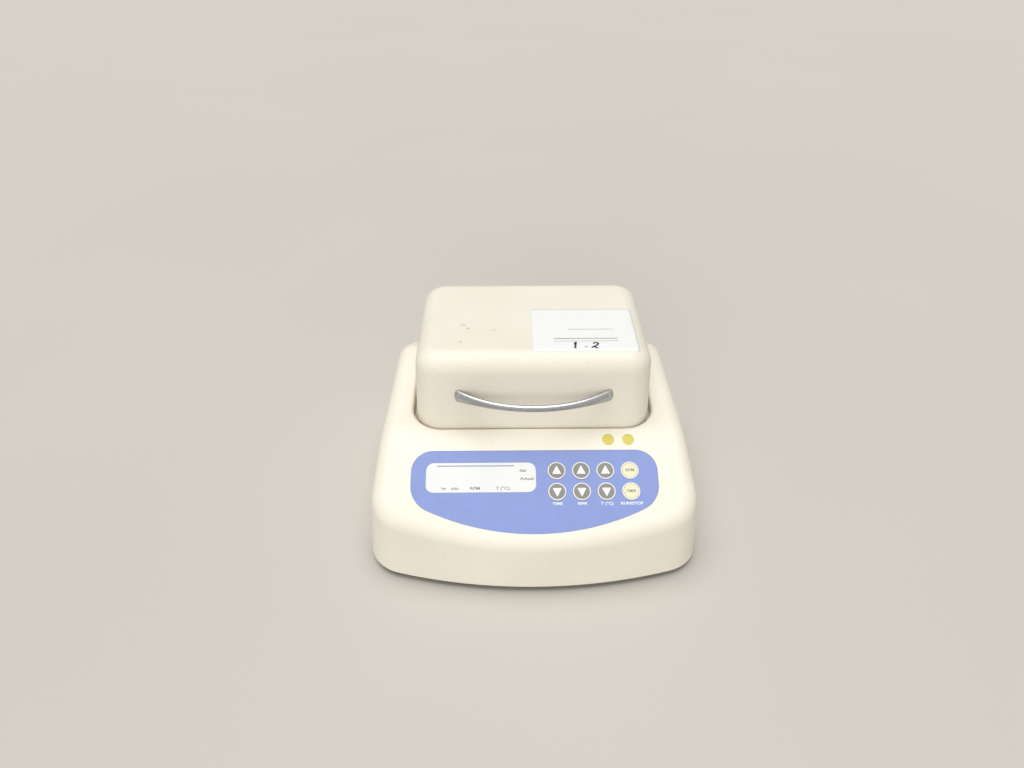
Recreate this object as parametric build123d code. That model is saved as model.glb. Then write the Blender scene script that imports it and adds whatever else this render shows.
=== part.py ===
"""Thermal mixer for one deep-well plate: a bench instrument that heats and orbits a plate under a hinged lid.

Frame: +Z up, Z = 0 on the bench, the origin under the middle of the case, the control panel towards -Y.
Every size is in millimetres.  Each function builds one piece, or one set of like pieces, in its place.
"""

from build123d import *
import math
import os

os.makedirs("parts", exist_ok=True)

# ================================================================ driving sizes
# ---- fits
fit_gap = 0.3          # between pieces that only lie beside each other
run_gap = 0.05         # shaft in its bore, screw in its hole

# ---- case
case_width = 240.0
case_rear_width = 224.0
case_depth = 230.0
case_bow_r = 355.0
case_corner_r = 31.0
case_back_corner_r = 18.0
case_sides_start = 40.0
case_draft = 5.0
case_wall = 3.0
case_edge_r = 12.0
skirt_gap = 5.0
well_lip_r = 2.5

# ---- roof lines of the case: (distance behind the front, height, slope in degrees)
panel_foot = 6.0
panel_foot_z = 44.0
panel_tilt = 29.0
shoulder_back = 85.0
shoulder_z = 83.2
shoulder_slope = 7.0
fall_back = 175.0
fall_z = 94.3
fall_slope = -30.0
brow_r = 55.0
fall_r = 25.0

# ---- well for the lid and bay for its hinges
well_floor_z = 76.0
well_front = 82.0
well_corner_r = 22.0
bay_width = 150.0
bay_drop = 6.0

# ---- lid
lid_width = 173.0
lid_depth = 119.5
lid_top_z = 140.0
lid_corner_r = 20.0
lid_draft = 2.5
lid_wall = 3.0
lid_edge_r = 14.0
lid_rim_gap = 3.0
lid_front_gap = 1.0
lid_side_gap = 2.5

# ---- chamber under the lid
chamber_back = 141.0
liner_width = 144.0
liner_depth = 101.0
liner_corner_r = 6.0
liner_wall = 2.0
liner_flange_t = 2.0
liner_top_z = 125.2
lid_plate_t = 3.0
lid_foil_t = 0.8
lid_pad_width = 138.0
lid_pad_depth = 80.0
boss_r = 4.2
liner_screw_y = 30.0

# ---- heated block
orbit_radius = 1.0
block_width = 130.0
block_depth = 88.0
block_seat_t = 6.0
block_raised_t = 5.0
block_raised_width = 112.0
block_raised_depth = 76.0
block_corner_r = 5.0
block_screw_side = 4.5
block_screw_end = 8.0
block_gap = 3.0
pit_columns = 12
pit_rows = 8
pit_pitch = 9.0
pit_width = 7.0
pit_depth = 3.0
frame_flange = 3.0
frame_t = 1.6
frame_flange_t = 1.2
frame_depth = 10.0
seal_width = 3.0

# ---- drive stack
base_lift = 1.0
base_t = 2.0
chassis_gap = 4.0
chassis_width = 150.0
chassis_depth = 112.0
chassis_t = 2.5
chassis_flange_h = 12.0
chassis_post_side = 9.0
chassis_post_end = 8.0
motor_r = 23.0
motor_h = 22.0
motor_wall = 2.0
motor_bearing_r = 6.0
motor_bearing_w = 2.0
shaft_r = 2.5
rotor_r = 13.0
stator_slots = 9
stator_inset = 4.0
crank_gap = 1.5
crank_r = 10.0
crank_h = 10.0
crank_pin_r = 5.0
bearing_r = 11.0
bearing_w = 6.0
bearing_ring_t = 2.4
bearing_cup_t = 5.0
weight_r = 22.0
weight_t = 6.0
carrier_t = 4.0
carrier_side = 3.0
carrier_lift = 2.2
pad_t = 3.0
foil_t = 0.8
plate_t = 6.0
elastic_post_r = 5.0
elastic_post_x = 56.0
elastic_post_y = 36.0

# ---- control panel, in its own plane: across, up the slope, out of the panel
overlay_width = 174.0
overlay_foot = 5.5
overlay_top = 65.9
overlay_bow_r = 177.0
overlay_top_r = 15.0
overlay_foot_r = 20.0
overlay_t = 0.8
overlay_recess = 1.0
window_width = 77.5
window_height = 21.8
window_x = -37.8
window_v = 46.1
window_r = 5.5
window_ledge = 2.5
key_r = 6.35
key_proud = 0.5
key_flange = 0.85
key_flange_t = 0.6
key_stem_r = 2.0
key_side_gap = 0.15
key_first_x = 15.6
key_pitch_x = 17.25
key_first_v = 35.3
key_pitch_v = 15.3
key_travel = 0.6
key_names = ["time", "speed", "temp"]

# ---- boards
board_t = 1.6
control_board_drop = 8.0
tact_size = 6.0
tact_h = 1.9
tact_button_h = 0.6
main_board_width = 160.0
main_board_depth = 46.0
main_board_lift = 6.0
main_board_gap = 8.0
main_board_post_side = 6.0
board_post_r = 3.2
board_post_side = 5.0
board_post_rows = (27.0, 58.0)
board_foot = 21.0
capacitor_r = 5.0
capacitor_h = 13.0
capacitor_pitch = 14.0
header_width = 14.0
header_depth = 6.0
header_h = 6.0
header_pitch = 20.0
header_wall = 1.0
coil_r = 8.0
coil_bore_r = 3.5
coil_h = 7.0
sink_width = 40.0
sink_depth = 20.0
sink_h = 14.0
sink_fin_t = 2.0
sink_fins = 6

# ---- feet, screws and bosses
foot_r = 9.0
foot_inset_x = 20.0
foot_inset_front = 37.0
foot_inset_back = 23.0
foot_recess = 3.4
screw_r = 1.5
screw_head_r = 2.8
screw_head_h = 1.8
small_screw_r = 1.1
small_head_r = 2.1
small_head_h = 1.4
small_screw_grip = 4.5
base_screw_grip = 10.0
bracket_screw_grip = 8.0
liner_screw_grip = 8.0
handle_screw_grip = 4.0
foot_screw_grip = 3.0
post_r = 4.5
rib_t = 2.0
case_screw_side = 12.0
case_screw_front = 52.0
case_screw_back = 44.0
vent_count = 9
vent_width = 3.0
vent_length = 34.0
vent_pitch = 7.0

# ---- hinge
hinge_x = 50.0
hinge_back = 9.5
hinge_rise = 4.0
pin_r = 2.0
knuckle_r = 5.0
knuckle_w = 14.0
ear_t = 3.0
bracket_t = 2.0
leaf_t = 2.0
leaf_h = 16.0
leaf_rise = 4.0
bracket_foot = 9.0
bracket_depth = 13.0

arm_screw_grip = 6.0

# ---- handle
handle_span = 110.0
handle_reach = 18.5
handle_z = 112.0
handle_mid_r = 2.4
handle_end_w = 5.0
handle_end_h = 10.5

# ---- rear pocket with the power inlet and its switch
pocket_x = -45.0
pocket_z = 34.0
pocket_width = 62.0
pocket_height = 32.0
pocket_depth = 5.5
pocket_bore = 20.0
inlet_offset = -15.0
switch_offset = 12.0
barrel_r = 4.0
barrel_bore_r = 2.8
barrel_pin_r = 1.0
barrel_length = 16.0
nut_r = 6.0
nut_t = 2.5
switch_width = 15.0
switch_height = 21.6
switch_body_depth = 14.0
switch_bezel = 1.6
switch_bezel_t = 1.5
rocker_width = 12.4
rocker_half = 8.2
rocker_throw = 20.0
rocker_depth = 5.6
rocker_sink = 1.0
trunnion_r = 1.2

# ---- temperature probe in the heated plate
probe_r = 1.5
probe_x = 20.0
probe_length = 30.0

# ================================================================ worked-out places
front_y = -case_depth / 2
rear_y = case_depth / 2
side_start_y = front_y + case_sides_start
side_taper = (case_width - case_rear_width) / 2 / (rear_y - side_start_y)
draft_tan = math.tan(math.radians(case_draft))

base_z = skirt_gap + base_lift
base_top = base_z + base_t
chassis_z = base_top + chassis_gap
motor_z = chassis_z + chassis_t
motor_top = motor_z + motor_h
crank_z = motor_top + crank_gap
crank_top = crank_z + crank_h
bearing_z = crank_top + 0.8
bearing_top = bearing_z + bearing_w
carrier_z = bearing_top + carrier_lift
pad_z = carrier_z + carrier_t
foil_z = pad_z + pad_t
plate_z = foil_z + foil_t
block_z = plate_z + plate_t
seat_z = block_z + block_seat_t

drive_y = front_y + chamber_back
block_y = drive_y + orbit_radius
opening_width = block_width + 2 * (orbit_radius + block_gap)
opening_depth = block_depth + 2 * (orbit_radius + block_gap)

well_front_y = front_y + well_front
well_width = lid_width + 2 * lid_side_gap
lid_z = well_floor_z + lid_rim_gap
lid_front_y = well_front_y + lid_front_gap
lid_back_y = lid_front_y + lid_depth
lid_mid_y = (lid_front_y + lid_back_y) / 2
lid_tan = math.tan(math.radians(lid_draft))
liner_z = lid_z + 1.0
lid_plate_top = liner_top_z + lid_plate_t
lid_foil_top = lid_plate_top + lid_foil_t
bay_z = well_floor_z - bay_drop
bay_front_y = lid_back_y + 1.0

hinge_y = lid_back_y + hinge_back
hinge_z = well_floor_z + hinge_rise
leaf_y = lid_back_y + 1.0

case_narrow_half = min(case_width, case_rear_width) / 2
case_wide_half = max(case_width, case_rear_width) / 2
foot_places = [
    (sx * (case_narrow_half - foot_inset_x), y)
    for sx in (-1, 1)
    for y in (front_y + foot_inset_front, rear_y - foot_inset_back)
]
case_screw_places = [
    (sx * (case_narrow_half - case_screw_side), y)
    for sx in (-1, 1)
    for y in (front_y + case_screw_front, rear_y - case_screw_back)
]
elastic_posts = [
    (sx * elastic_post_x, drive_y + sy * elastic_post_y) for sx in (-1, 1) for sy in (-1, 1)
]
chassis_posts = [
    (sx * (chassis_width / 2 - chassis_post_side), drive_y + sy * (chassis_depth / 2 - chassis_post_end))
    for sx in (-1, 1)
    for sy in (-1, 1)
]
block_screws = [
    (sx * (block_width / 2 - block_screw_side), block_y + sy * (block_depth / 2 - block_screw_end))
    for sx in (-1, 1)
    for sy in (-1, 1)
]
liner_screws = [
    (sx * (lid_width / 2 - lid_wall - boss_r + 0.2), drive_y + sy * liner_screw_y)
    for sx in (-1, 1)
    for sy in (-1, 1)
]

main_board_y = drive_y - chassis_depth / 2 - main_board_depth / 2 - main_board_gap
main_board_posts = [
    (sx * (main_board_width / 2 - main_board_post_side),
     main_board_y + sy * (main_board_depth / 2 - main_board_post_side))
    for sx in (-1, 1)
    for sy in (-1, 1)
]
motor_screw_circle = motor_r - 5.0
motor_screws = [
    (motor_screw_circle * math.cos(math.radians(a)), drive_y + motor_screw_circle * math.sin(math.radians(a)))
    for a in (45, 135, 225, 315)
]
weight_z = crank_z + 1.5
set_screw_z = weight_z + weight_t / 2
arm_screw_z = lid_z + leaf_rise + leaf_h - 3.5
handle_screws = [-(handle_span / 2 - 2.0), handle_span / 2 - 2.0]
handle_face_y = lid_front_y + (handle_z - lid_z) * lid_tan
LID_FRONT = Plane(
    origin=(0, handle_face_y + lid_wall / math.cos(math.radians(lid_draft)), handle_z),
    x_dir=(1, 0, 0),
    z_dir=(0, math.cos(math.radians(lid_draft)), -math.sin(math.radians(lid_draft))),
)

panel_line = (front_y + panel_foot, panel_foot_z, panel_tilt)
shoulder_line = (front_y + shoulder_back, shoulder_z, shoulder_slope)
fall_line = (front_y + fall_back, fall_z, fall_slope)
PANEL = Plane(
    origin=(0, front_y + panel_foot, panel_foot_z),
    x_dir=(1, 0, 0),
    z_dir=(0, -math.sin(math.radians(panel_tilt)), math.cos(math.radians(panel_tilt))),
)
board_posts = [(sx * (overlay_width / 2 - board_post_side), v) for sx in (-1, 1) for v in board_post_rows]
key_columns = [key_first_x + key_pitch_x * i for i in range(len(key_names) + 1)]
key_rows = [key_first_v + key_pitch_v, key_first_v]
overlay_w = -overlay_recess


# ================================================================ helpers
def span(x0, x1, y0, y1, z0, z1):
    """Box between two opposite corners."""
    return Pos((x0 + x1) / 2, (y0 + y1) / 2, (z0 + z1) / 2) * Box(x1 - x0, y1 - y0, z1 - z0)


def rod(x, y, z0, z1, r):
    """Upright cylinder from z0 to z1."""
    return Pos(x, y, (z0 + z1) / 2) * Cylinder(r, z1 - z0)


def tube(x, y, z0, z1, r, bore_r):
    """Upright ring from z0 to z1."""
    return rod(x, y, z0, z1, r) - rod(x, y, z0 - 1, z1 + 1, bore_r)


def slab(x, y, width, depth, r, z0, z1):
    """Upright prism on a rectangle with rounded corners."""
    return Pos(x, y, z0) * extrude(RectangleRounded(width, depth, r), z1 - z0)


def screw(length, r=screw_r, head_r=screw_head_r, head_h=screw_head_h):
    """Pan-head screw: shank down from Z = 0, head above it with a hex socket."""
    head = Pos(0, 0, head_h / 2) * Cylinder(head_r, head_h)
    head = fillet(head.edges().group_by(Axis.Z)[-1], head_h * 0.4)
    socket = Pos(0, 0, head_h * 0.4) * extrude(RegularPolygon(head_r * 0.5, 6), head_h)
    return head - socket + Pos(0, 0, -length / 2) * Cylinder(r, length)


def save(name, *shapes):
    """Writes one node, made of one solid or of several like ones."""
    export_step(shapes[0] if len(shapes) == 1 else Compound(children=list(shapes)), f"parts/{name}.step")


def lowered(line, inset):
    """Roof line moved inwards by a wall."""
    return line[0], line[1] - inset / math.cos(math.radians(line[2])), line[2]


def on_line(line, y):
    """Point of a roof line at a depth y."""
    return y, line[1] + math.tan(math.radians(line[2])) * (y - line[0])


def crossing(first, second):
    """Point where two roof lines meet."""
    slope_a = math.tan(math.radians(first[2]))
    slope_b = math.tan(math.radians(second[2]))
    y = (second[1] - first[1] + slope_a * first[0] - slope_b * second[0]) / (slope_a - slope_b)
    return on_line(first, y)


def case_outline(inset=0.0):
    """Plan of the case at its lower edge: bowed front, sides that draw in, square back."""
    half_back = case_rear_width / 2 - inset
    half_front = half_back + side_taper * case_depth
    plan = make_face(
        Polyline((-half_front, front_y), (half_front, front_y), (half_back, rear_y - inset),
                 (-half_back, rear_y - inset), close=True)
    )
    plan = plan & (Pos(0, front_y + case_bow_r) * Circle(case_bow_r - inset))
    plan = fillet(plan.vertices().filter_by(lambda v: v.Y < 0), case_corner_r - inset)
    return fillet(plan.vertices().group_by(Axis.Y)[-1], case_back_corner_r - inset)


def roof_prism(inset=0.0):
    """Everything under the roof: sloped panel, rising shoulders, falling back."""
    panel, shoulder, fall = (lowered(line, inset) for line in (panel_line, shoulder_line, fall_line))
    brow = crossing(panel, shoulder)
    crest = crossing(shoulder, fall)
    face = make_face(
        Polyline(on_line(panel, front_y - 20), brow, crest, on_line(fall, rear_y + 20),
                 (rear_y + 20, 0), (front_y - 20, 0), close=True)
    )
    face = fillet(face.vertices().sort_by_distance((*brow, 0))[0], brow_r - inset)
    face = fillet(face.vertices().sort_by_distance((*crest, 0))[0], fall_r - inset)
    return extrude(Plane.YZ * face, case_width, both=True)


def case_form(inset=0.0):
    """Closed form of the case, or the same form moved inwards by a wall."""
    walls = extrude(Pos(0, 0, skirt_gap) * case_outline(inset), lid_top_z - skirt_gap, taper=case_draft)
    form = walls & roof_prism(inset)
    rim = [
        edge for edge in form.edges()
        if min(v.Z for v in edge.vertices()) > skirt_gap + 5
        and not (abs(edge.center().X) < 1 and front_y + 20 < edge.center().Y < rear_y - 20)
    ]
    return fillet(rim, case_edge_r - inset)


def well_form(inset=0.0):
    """Space over the case for the lid, grown outwards by a wall, open at the back."""
    depth = case_depth
    return slab(0, well_front_y - inset + depth / 2, well_width + 2 * inset, depth,
                well_corner_r + inset, well_floor_z - inset, lid_top_z)


def bay_form(inset=0.0):
    """Space behind the lid for the hinges, grown outwards by a wall."""
    half = bay_width / 2 + inset
    return span(-half, half, bay_front_y - inset, rear_y + 20, bay_z - inset, lid_top_z)


def pocket_form(inset=0.0):
    """Pocket in the back for the power inlet, grown outwards by a wall."""
    return Pos(pocket_x, rear_y - pocket_depth - inset, pocket_z) * Rot(90, 0, 0) * extrude(
        RectangleRounded(pocket_width + 2 * inset, pocket_height + 2 * inset, 4.0 + inset), -30
    )


def lid_form(inset=0.0):
    """Closed form of the lid, or the same form moved inwards by a wall."""
    form = extrude(
        Pos(0, lid_mid_y, lid_z) * RectangleRounded(lid_width - 2 * inset, lid_depth - 2 * inset,
                                                    lid_corner_r - inset),
        lid_top_z - lid_z - inset, taper=lid_draft,
    )
    return fillet(form.edges().group_by(Axis.Z)[-1], lid_edge_r - inset)


def overlay_outline(grow=0.0):
    """Outline of the control panel: bowed foot, round corners."""
    half = overlay_width / 2
    rise = overlay_bow_r - math.sqrt(overlay_bow_r ** 2 - half ** 2)
    sides = Polyline((-half, overlay_foot + rise), (-half, overlay_top), (half, overlay_top),
                     (half, overlay_foot + rise))
    bow = ThreePointArc((-half, overlay_foot + rise), (0, overlay_foot), (half, overlay_foot + rise))
    face = make_face(sides.edges() + bow.edges())
    low = face.vertices().sort_by(Axis.Y)[:2]
    face = fillet(low, overlay_foot_r)
    face = fillet(face.vertices().group_by(Axis.Y)[-1], overlay_top_r)
    return offset(face, grow) if grow else face


def on_panel(shape):
    """Moves a shape from panel coordinates to its place."""
    return PANEL.location * shape


def panel_rod(x, v, w0, w1, r):
    """Cylinder that stands on the panel."""
    return on_panel(Pos(x, v, (w0 + w1) / 2) * Cylinder(r, w1 - w0))


def panel_slab(x, v, width, height, r, w0, w1):
    """Rounded block that lies in the panel."""
    return on_panel(Pos(x, v, w0) * extrude(RectangleRounded(width, height, r), w1 - w0))


def key_places():
    """Every key's name, place across and place up the slope."""
    places = []
    for name, x in zip(key_names, key_columns):
        places.append((f"key_{name}_up", x, key_rows[0]))
        places.append((f"key_{name}_down", x, key_rows[1]))
    places.append(("key_run_speed", key_columns[-1], key_rows[0]))
    places.append(("key_run_temp", key_columns[-1], key_rows[1]))
    return places


# ================================================================ case and base
def case_shell():
    """Moulded housing: skirt, sloped panel, shoulders, lid well, hinge bay and rear pocket."""
    outer = case_form()
    body = outer - well_form() - bay_form()
    lip = [
        edge for edge in body.edges()
        if abs(edge.center().X) < well_width / 2 + 1
        and min(v.Z for v in edge.vertices()) > well_floor_z + 1
        and edge.center().Y < bay_front_y
    ]
    body = fillet(lip, well_lip_r)
    hollow = case_form(case_wall) - well_form(case_wall) - bay_form(case_wall) - pocket_form(case_wall)
    shell = body - pocket_form() - hollow

    posts = []
    for x, y in case_screw_places:
        outside = math.copysign(case_wide_half, x)
        web = span(*sorted((x, outside)), y - rib_t / 2, y + rib_t / 2, base_top, lid_top_z)
        posts.append(rod(x, y, base_top, lid_top_z, post_r) + web)
    for x, v in board_posts:
        posts.append(panel_rod(x, v, -control_board_drop, 0, board_post_r))
    for hx in (-hinge_x, hinge_x):
        for side in (-1, 1):
            posts.append(rod(hx + side * (knuckle_w / 2 + ear_t + bracket_foot / 2 + fit_gap), hinge_y - 1.0,
                             bay_z - bracket_screw_grip - 2, bay_z, post_r))
    for piece in posts:
        shell += piece & hollow

    cuts = [slab(0, drive_y, opening_width + 2 * (frame_t + fit_gap), opening_depth + 2 * (frame_t + fit_gap),
                 block_corner_r + frame_t, well_floor_z - case_wall - 1, well_floor_z + 1)]
    cuts.append(on_panel(Pos(0, 0, overlay_w) * extrude(overlay_outline(key_side_gap), 20)))
    ledge = 2 * window_ledge
    cuts.append(panel_slab(window_x, window_v, window_width - ledge, window_height - ledge,
                           window_r - window_ledge, -case_wall - 2, 0))
    for _, x, v in key_places():
        cuts.append(panel_rod(x, v, -case_wall - 2, 0, key_r + key_flange + fit_gap))
    for x, y in case_screw_places:
        cuts.append(rod(x, y, base_top - 1, base_top + base_screw_grip + 2, screw_r + run_gap))
    for x, v in board_posts:
        cuts.append(panel_rod(x, v, -control_board_drop - 1, -control_board_drop + small_screw_grip + 0.5,
                              small_screw_r + run_gap))
    for x, y in bracket_screws():
        cuts.append(rod(x, y, bay_z - bracket_screw_grip - 1, bay_z + 1, screw_r + run_gap))
    pocket_floor_y = rear_y - pocket_depth
    cuts.append(Pos(pocket_x + inlet_offset, pocket_floor_y, pocket_z) * Rot(90, 0, 0)
                * Cylinder(barrel_r + run_gap, pocket_bore))
    cuts.append(Pos(pocket_x + switch_offset, pocket_floor_y, pocket_z)
                * Box(switch_width + 2 * run_gap, pocket_bore, switch_height + 2 * run_gap))
    for cut in cuts:
        shell -= cut
    return shell


def bracket_screws():
    """Where the hinge brackets are screwed to the bay."""
    reach = knuckle_w / 2 + ear_t + bracket_foot / 2 + fit_gap
    return [(hx + side * reach, hinge_y - 1.0) for hx in (-hinge_x, hinge_x) for side in (-1, 1)]


def base_plate():
    """Pressed bottom plate inside the skirt, with vent slots and bushes."""
    inset = case_wall + base_lift * draft_tan + base_t * draft_tan + fit_gap
    plate = Pos(0, 0, base_z) * extrude(case_outline(inset), base_t)
    for x, y in foot_places:
        plate += rod(x, y, base_top, base_top + 4, post_r)
        plate -= rod(x, y, base_z - 1, base_top + 5, screw_r + run_gap)
    for x, y in case_screw_places:
        plate -= rod(x, y, base_z - 1, base_top + 1, screw_r + run_gap)
    for x, y in chassis_posts:
        plate -= rod(x, y, base_z - 1, base_top + 1, screw_r + run_gap)
    for x, y in main_board_posts:
        plate += rod(x, y, base_top, base_top + main_board_lift, board_post_r)
        plate -= rod(x, y, base_z - 1, base_top + main_board_lift + 1, small_screw_r + run_gap)
    for i in range(vent_count):
        x = (i - (vent_count - 1) / 2) * vent_pitch
        for y in (drive_y, main_board_y):
            plate -= slab(x, y, vent_width, vent_length, vent_width / 2 - 0.01, base_z - 1, base_top + 1)
    return plate


def rubber_foot(x, y):
    """Soft foot with a chamfered tread and a counterbore for its screw."""
    foot = rod(x, y, 0, base_z, foot_r)
    foot = chamfer(foot.edges().group_by(Axis.Z)[0], 1.0)
    foot -= rod(x, y, -1, foot_recess, screw_head_r + fit_gap)
    return foot - rod(x, y, 0, base_z + 1, screw_r + run_gap)


def foot_screw(x, y):
    return Pos(x, y, foot_recess) * Rot(180, 0, 0) * screw(base_top + foot_screw_grip - foot_recess)


def case_screw(x, y):
    return Pos(x, y, base_z) * Rot(180, 0, 0) * screw(base_t + base_screw_grip)


# ================================================================ control panel
def front_panel_overlay():
    """Printed membrane in the sunk face of the panel, with holes for the keys and the window."""
    film = Pos(0, 0, overlay_w) * extrude(overlay_outline(), overlay_t)
    film -= Pos(window_x, window_v, overlay_w - 1) * extrude(
        RectangleRounded(window_width + 2 * key_side_gap, window_height + 2 * key_side_gap,
                         window_r + key_side_gap), 4)
    for _, x, v in key_places():
        film -= Pos(x, v, 0) * Cylinder(key_r + key_side_gap, 6)
    return on_panel(film)


def lcd_window():
    """Clear pane over the display."""
    return panel_slab(window_x, window_v, window_width, window_height, window_r,
                      overlay_w, overlay_w + overlay_t)


def lcd_bezel():
    """Metal frame that holds the display glass over the board."""
    low = -control_board_drop
    high = -case_wall - fit_gap
    frame = panel_slab(window_x, window_v, window_width + 2, window_height + 4, 1.0, low, high)
    frame -= panel_slab(window_x, window_v, window_width - 2, window_height, 0.5, low + 1.2, high - 1.0)
    ledge = 2 * window_ledge
    return frame - panel_slab(window_x, window_v, window_width - ledge, window_height - ledge, 0.5,
                              high - 2, high + 1)


def lcd_glass():
    """Display glass inside its frame."""
    high = -case_wall - fit_gap - 1.0
    return panel_slab(window_x, window_v, window_width - 2 - 2 * run_gap, window_height - 2 * run_gap, 0.5,
                      -control_board_drop + 1.2, high)


def key_cap(x, v):
    """Push key: domed cap through the membrane, flange behind it and a stem to its switch."""
    cap = Pos(x, v, 0) * extrude(Circle(key_r), key_proud) + Pos(x, v, overlay_w - 0.05) * extrude(
        Circle(key_r), -overlay_w + 0.05)
    cap = fillet(cap.edges().group_by(Axis.Z)[-1], 0.35)
    flange_top = overlay_w - run_gap
    flange = Pos(x, v, flange_top - key_flange_t) * extrude(Circle(key_r + key_flange), key_flange_t)
    stem_end = key_stem_foot()
    stem = Pos(x, v, stem_end) * extrude(Circle(key_stem_r), flange_top - stem_end)
    return on_panel(cap + flange + stem)


def key_stem_foot():
    """Lower end of a key's stem, clear of its switch when the key is pressed home."""
    return -control_board_drop + tact_h + tact_button_h + key_travel + 0.1


def key_switches():
    """Tact switches on the control board, one under each key."""
    parts = []
    for _, x, v in key_places():
        low = -control_board_drop
        body = Pos(x, v, low) * extrude(Rectangle(tact_size, tact_size), tact_h)
        button = Pos(x, v, low + tact_h) * extrude(Circle(1.6), tact_button_h)
        parts.append(on_panel(body + button))
    return parts


def control_board():
    """Board behind the panel, screwed to four posts."""
    width = overlay_width - 2
    low, high = board_foot, overlay_top - 2
    board = panel_slab(0, (low + high) / 2, width, high - low, 2.0,
                       -control_board_drop - board_t, -control_board_drop)
    for x, v in board_posts:
        board -= panel_rod(x, v, -control_board_drop - board_t - 1, -control_board_drop + 1,
                           small_screw_r + run_gap)
    return board


def board_screw(x, v):
    turned = Pos(x, v, -control_board_drop - board_t) * Rot(180, 0, 0)
    return on_panel(turned * screw(board_t + small_screw_grip, small_screw_r, small_head_r, small_head_h))


# ================================================================ electronics on the base
def main_board():
    """Power and motor board on posts of the base plate."""
    low = base_top + main_board_lift
    board = slab(0, main_board_y, main_board_width, main_board_depth, 2.0, low, low + board_t)
    for x, y in main_board_posts:
        board -= rod(x, y, low - 1, low + board_t + 1, small_screw_r + run_gap)
    return board


def main_board_screw(x, y):
    top = base_top + main_board_lift + board_t
    return Pos(x, y, top) * screw(board_t + small_screw_grip, small_screw_r, small_head_r, small_head_h)


def main_board_parts():
    """Capacitors, connectors, inductor and heat sink on the main board."""
    low = base_top + main_board_lift + board_t
    back_y = main_board_y + main_board_depth / 2
    front = main_board_y - main_board_depth / 2 + header_wall
    row_y = back_y - sink_depth / 2 - 4 * header_wall
    left = -main_board_width / 2 + 2 * main_board_post_side + header_wall
    parts = []
    for i in range(3):
        can = rod(left + capacitor_r + capacitor_pitch * i, row_y, low, low + capacitor_h, capacitor_r)
        parts.append(fillet(can.edges().group_by(Axis.Z)[-1], 0.8))
    for i in range(4):
        x = left + header_pitch * i
        header = span(x, x + header_width, front, front + header_depth, low, low + header_h)
        cavity = span(x + header_wall, x + header_width - header_wall, front + header_wall,
                      front + header_depth - header_wall, low + 1.5, low + header_h + 1)
        parts.append(header - cavity)
    parts.append(tube(0, row_y, low, low + coil_h, coil_r, coil_bore_r))
    right = main_board_width / 2 - 2 * main_board_post_side - header_wall
    sink_front, sink_back = row_y - sink_depth / 2, row_y + sink_depth / 2
    sink = span(right - sink_width, right, sink_front, sink_back, low, low + sink_fin_t)
    step = (sink_width - sink_fin_t) / (sink_fins - 1)
    for i in range(sink_fins):
        x = right - sink_width + step * i
        sink += span(x, x + sink_fin_t, sink_front, sink_back, low + sink_fin_t, low + sink_h)
    parts.append(sink)
    return parts


# ================================================================ drive
def chassis():
    """Folded steel tray that carries the motor and the elastic posts."""
    half_w, half_d = chassis_width / 2, chassis_depth / 2
    tray = slab(0, drive_y, chassis_width, chassis_depth, 3.0, chassis_z, motor_z)
    for side in (-1, 1):
        inner = side * (half_w - chassis_t)
        outer = side * half_w
        tray += span(min(inner, outer), max(inner, outer), drive_y - half_d + 3, drive_y + half_d - 3,
                     chassis_z, chassis_z + chassis_flange_h)
        tray -= slab(side * 40, drive_y, 14, 50, 6.0, chassis_z - 1, motor_z + 1)
    tray -= rod(0, drive_y, chassis_z - 1, motor_z + 1, motor_bearing_r + 2)
    for x, y in chassis_posts:
        tray -= rod(x, y, chassis_z - 1, motor_z + 1, screw_r + run_gap)
    for x, y in motor_screws:
        tray -= rod(x, y, chassis_z - 1, motor_z + 1, small_screw_r + run_gap)
    for x, y in elastic_posts:
        tray -= rod(x, y, chassis_z - 1, motor_z + 1, elastic_post_r * 0.5 + run_gap)
    return tray


def chassis_post(x, y):
    """Hexagonal spacer between base plate and chassis."""
    spacer = Pos(x, y, base_top) * extrude(RegularPolygon(post_r, 6), chassis_gap)
    return spacer - rod(x, y, base_top - 1, chassis_z + 1, screw_r + run_gap)


def chassis_screw(x, y):
    return Pos(x, y, motor_z) * screw(chassis_t + chassis_gap + base_t)


def motor_housing():
    """Flat motor's can, with a bearing seat at each end."""
    can = rod(0, drive_y, motor_z, motor_top, motor_r)
    can = fillet(can.edges().group_by(Axis.Z)[-1], 1.5)
    can -= rod(0, drive_y, motor_z + motor_wall, motor_top - motor_wall, motor_r - motor_wall)
    can -= rod(0, drive_y, motor_z - 1, motor_top + 1, motor_bearing_r + run_gap)
    for x, y in motor_screws:
        can -= rod(x, y, motor_z - 1, motor_z + motor_wall + 1, small_screw_r + run_gap)
    return can


def motor_bearing(z):
    """Plain bearing in the motor's end wall, with a flange inside it."""
    inner = z + motor_wall if z < (motor_z + motor_top) / 2 else z - 1.0
    ring = rod(0, drive_y, z, z + motor_wall, motor_bearing_r) + rod(0, drive_y, inner, inner + 1.0,
                                                                      motor_bearing_r + 1.5)
    return ring - rod(0, drive_y, z - 2, z + motor_wall + 2, shaft_r + run_gap)


def motor_stator():
    """Slotted ring of the motor's windings, pressed into the can."""
    low, high = motor_z + stator_inset, motor_top - stator_inset
    ring = tube(0, drive_y, low, high, motor_r - motor_wall - run_gap, rotor_r + 0.6)
    reach = motor_r - motor_wall
    for i in range(stator_slots):
        turned = Pos(0, drive_y, (low + high) / 2) * Rot(0, 0, 360 / stator_slots * i)
        slot = turned * Pos(reach / 2, 0, 0) * Box(reach, 2.4, high - low + 2)
        ring -= slot & tube(0, drive_y, low - 1, high + 1, reach - 3.0, rotor_r - 1)
    return ring


def motor_screw(x, y):
    turned = Pos(x, y, chassis_z) * Rot(180, 0, 0)
    return turned * screw(chassis_t + motor_wall, small_screw_r, small_head_r, small_head_h)


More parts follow.
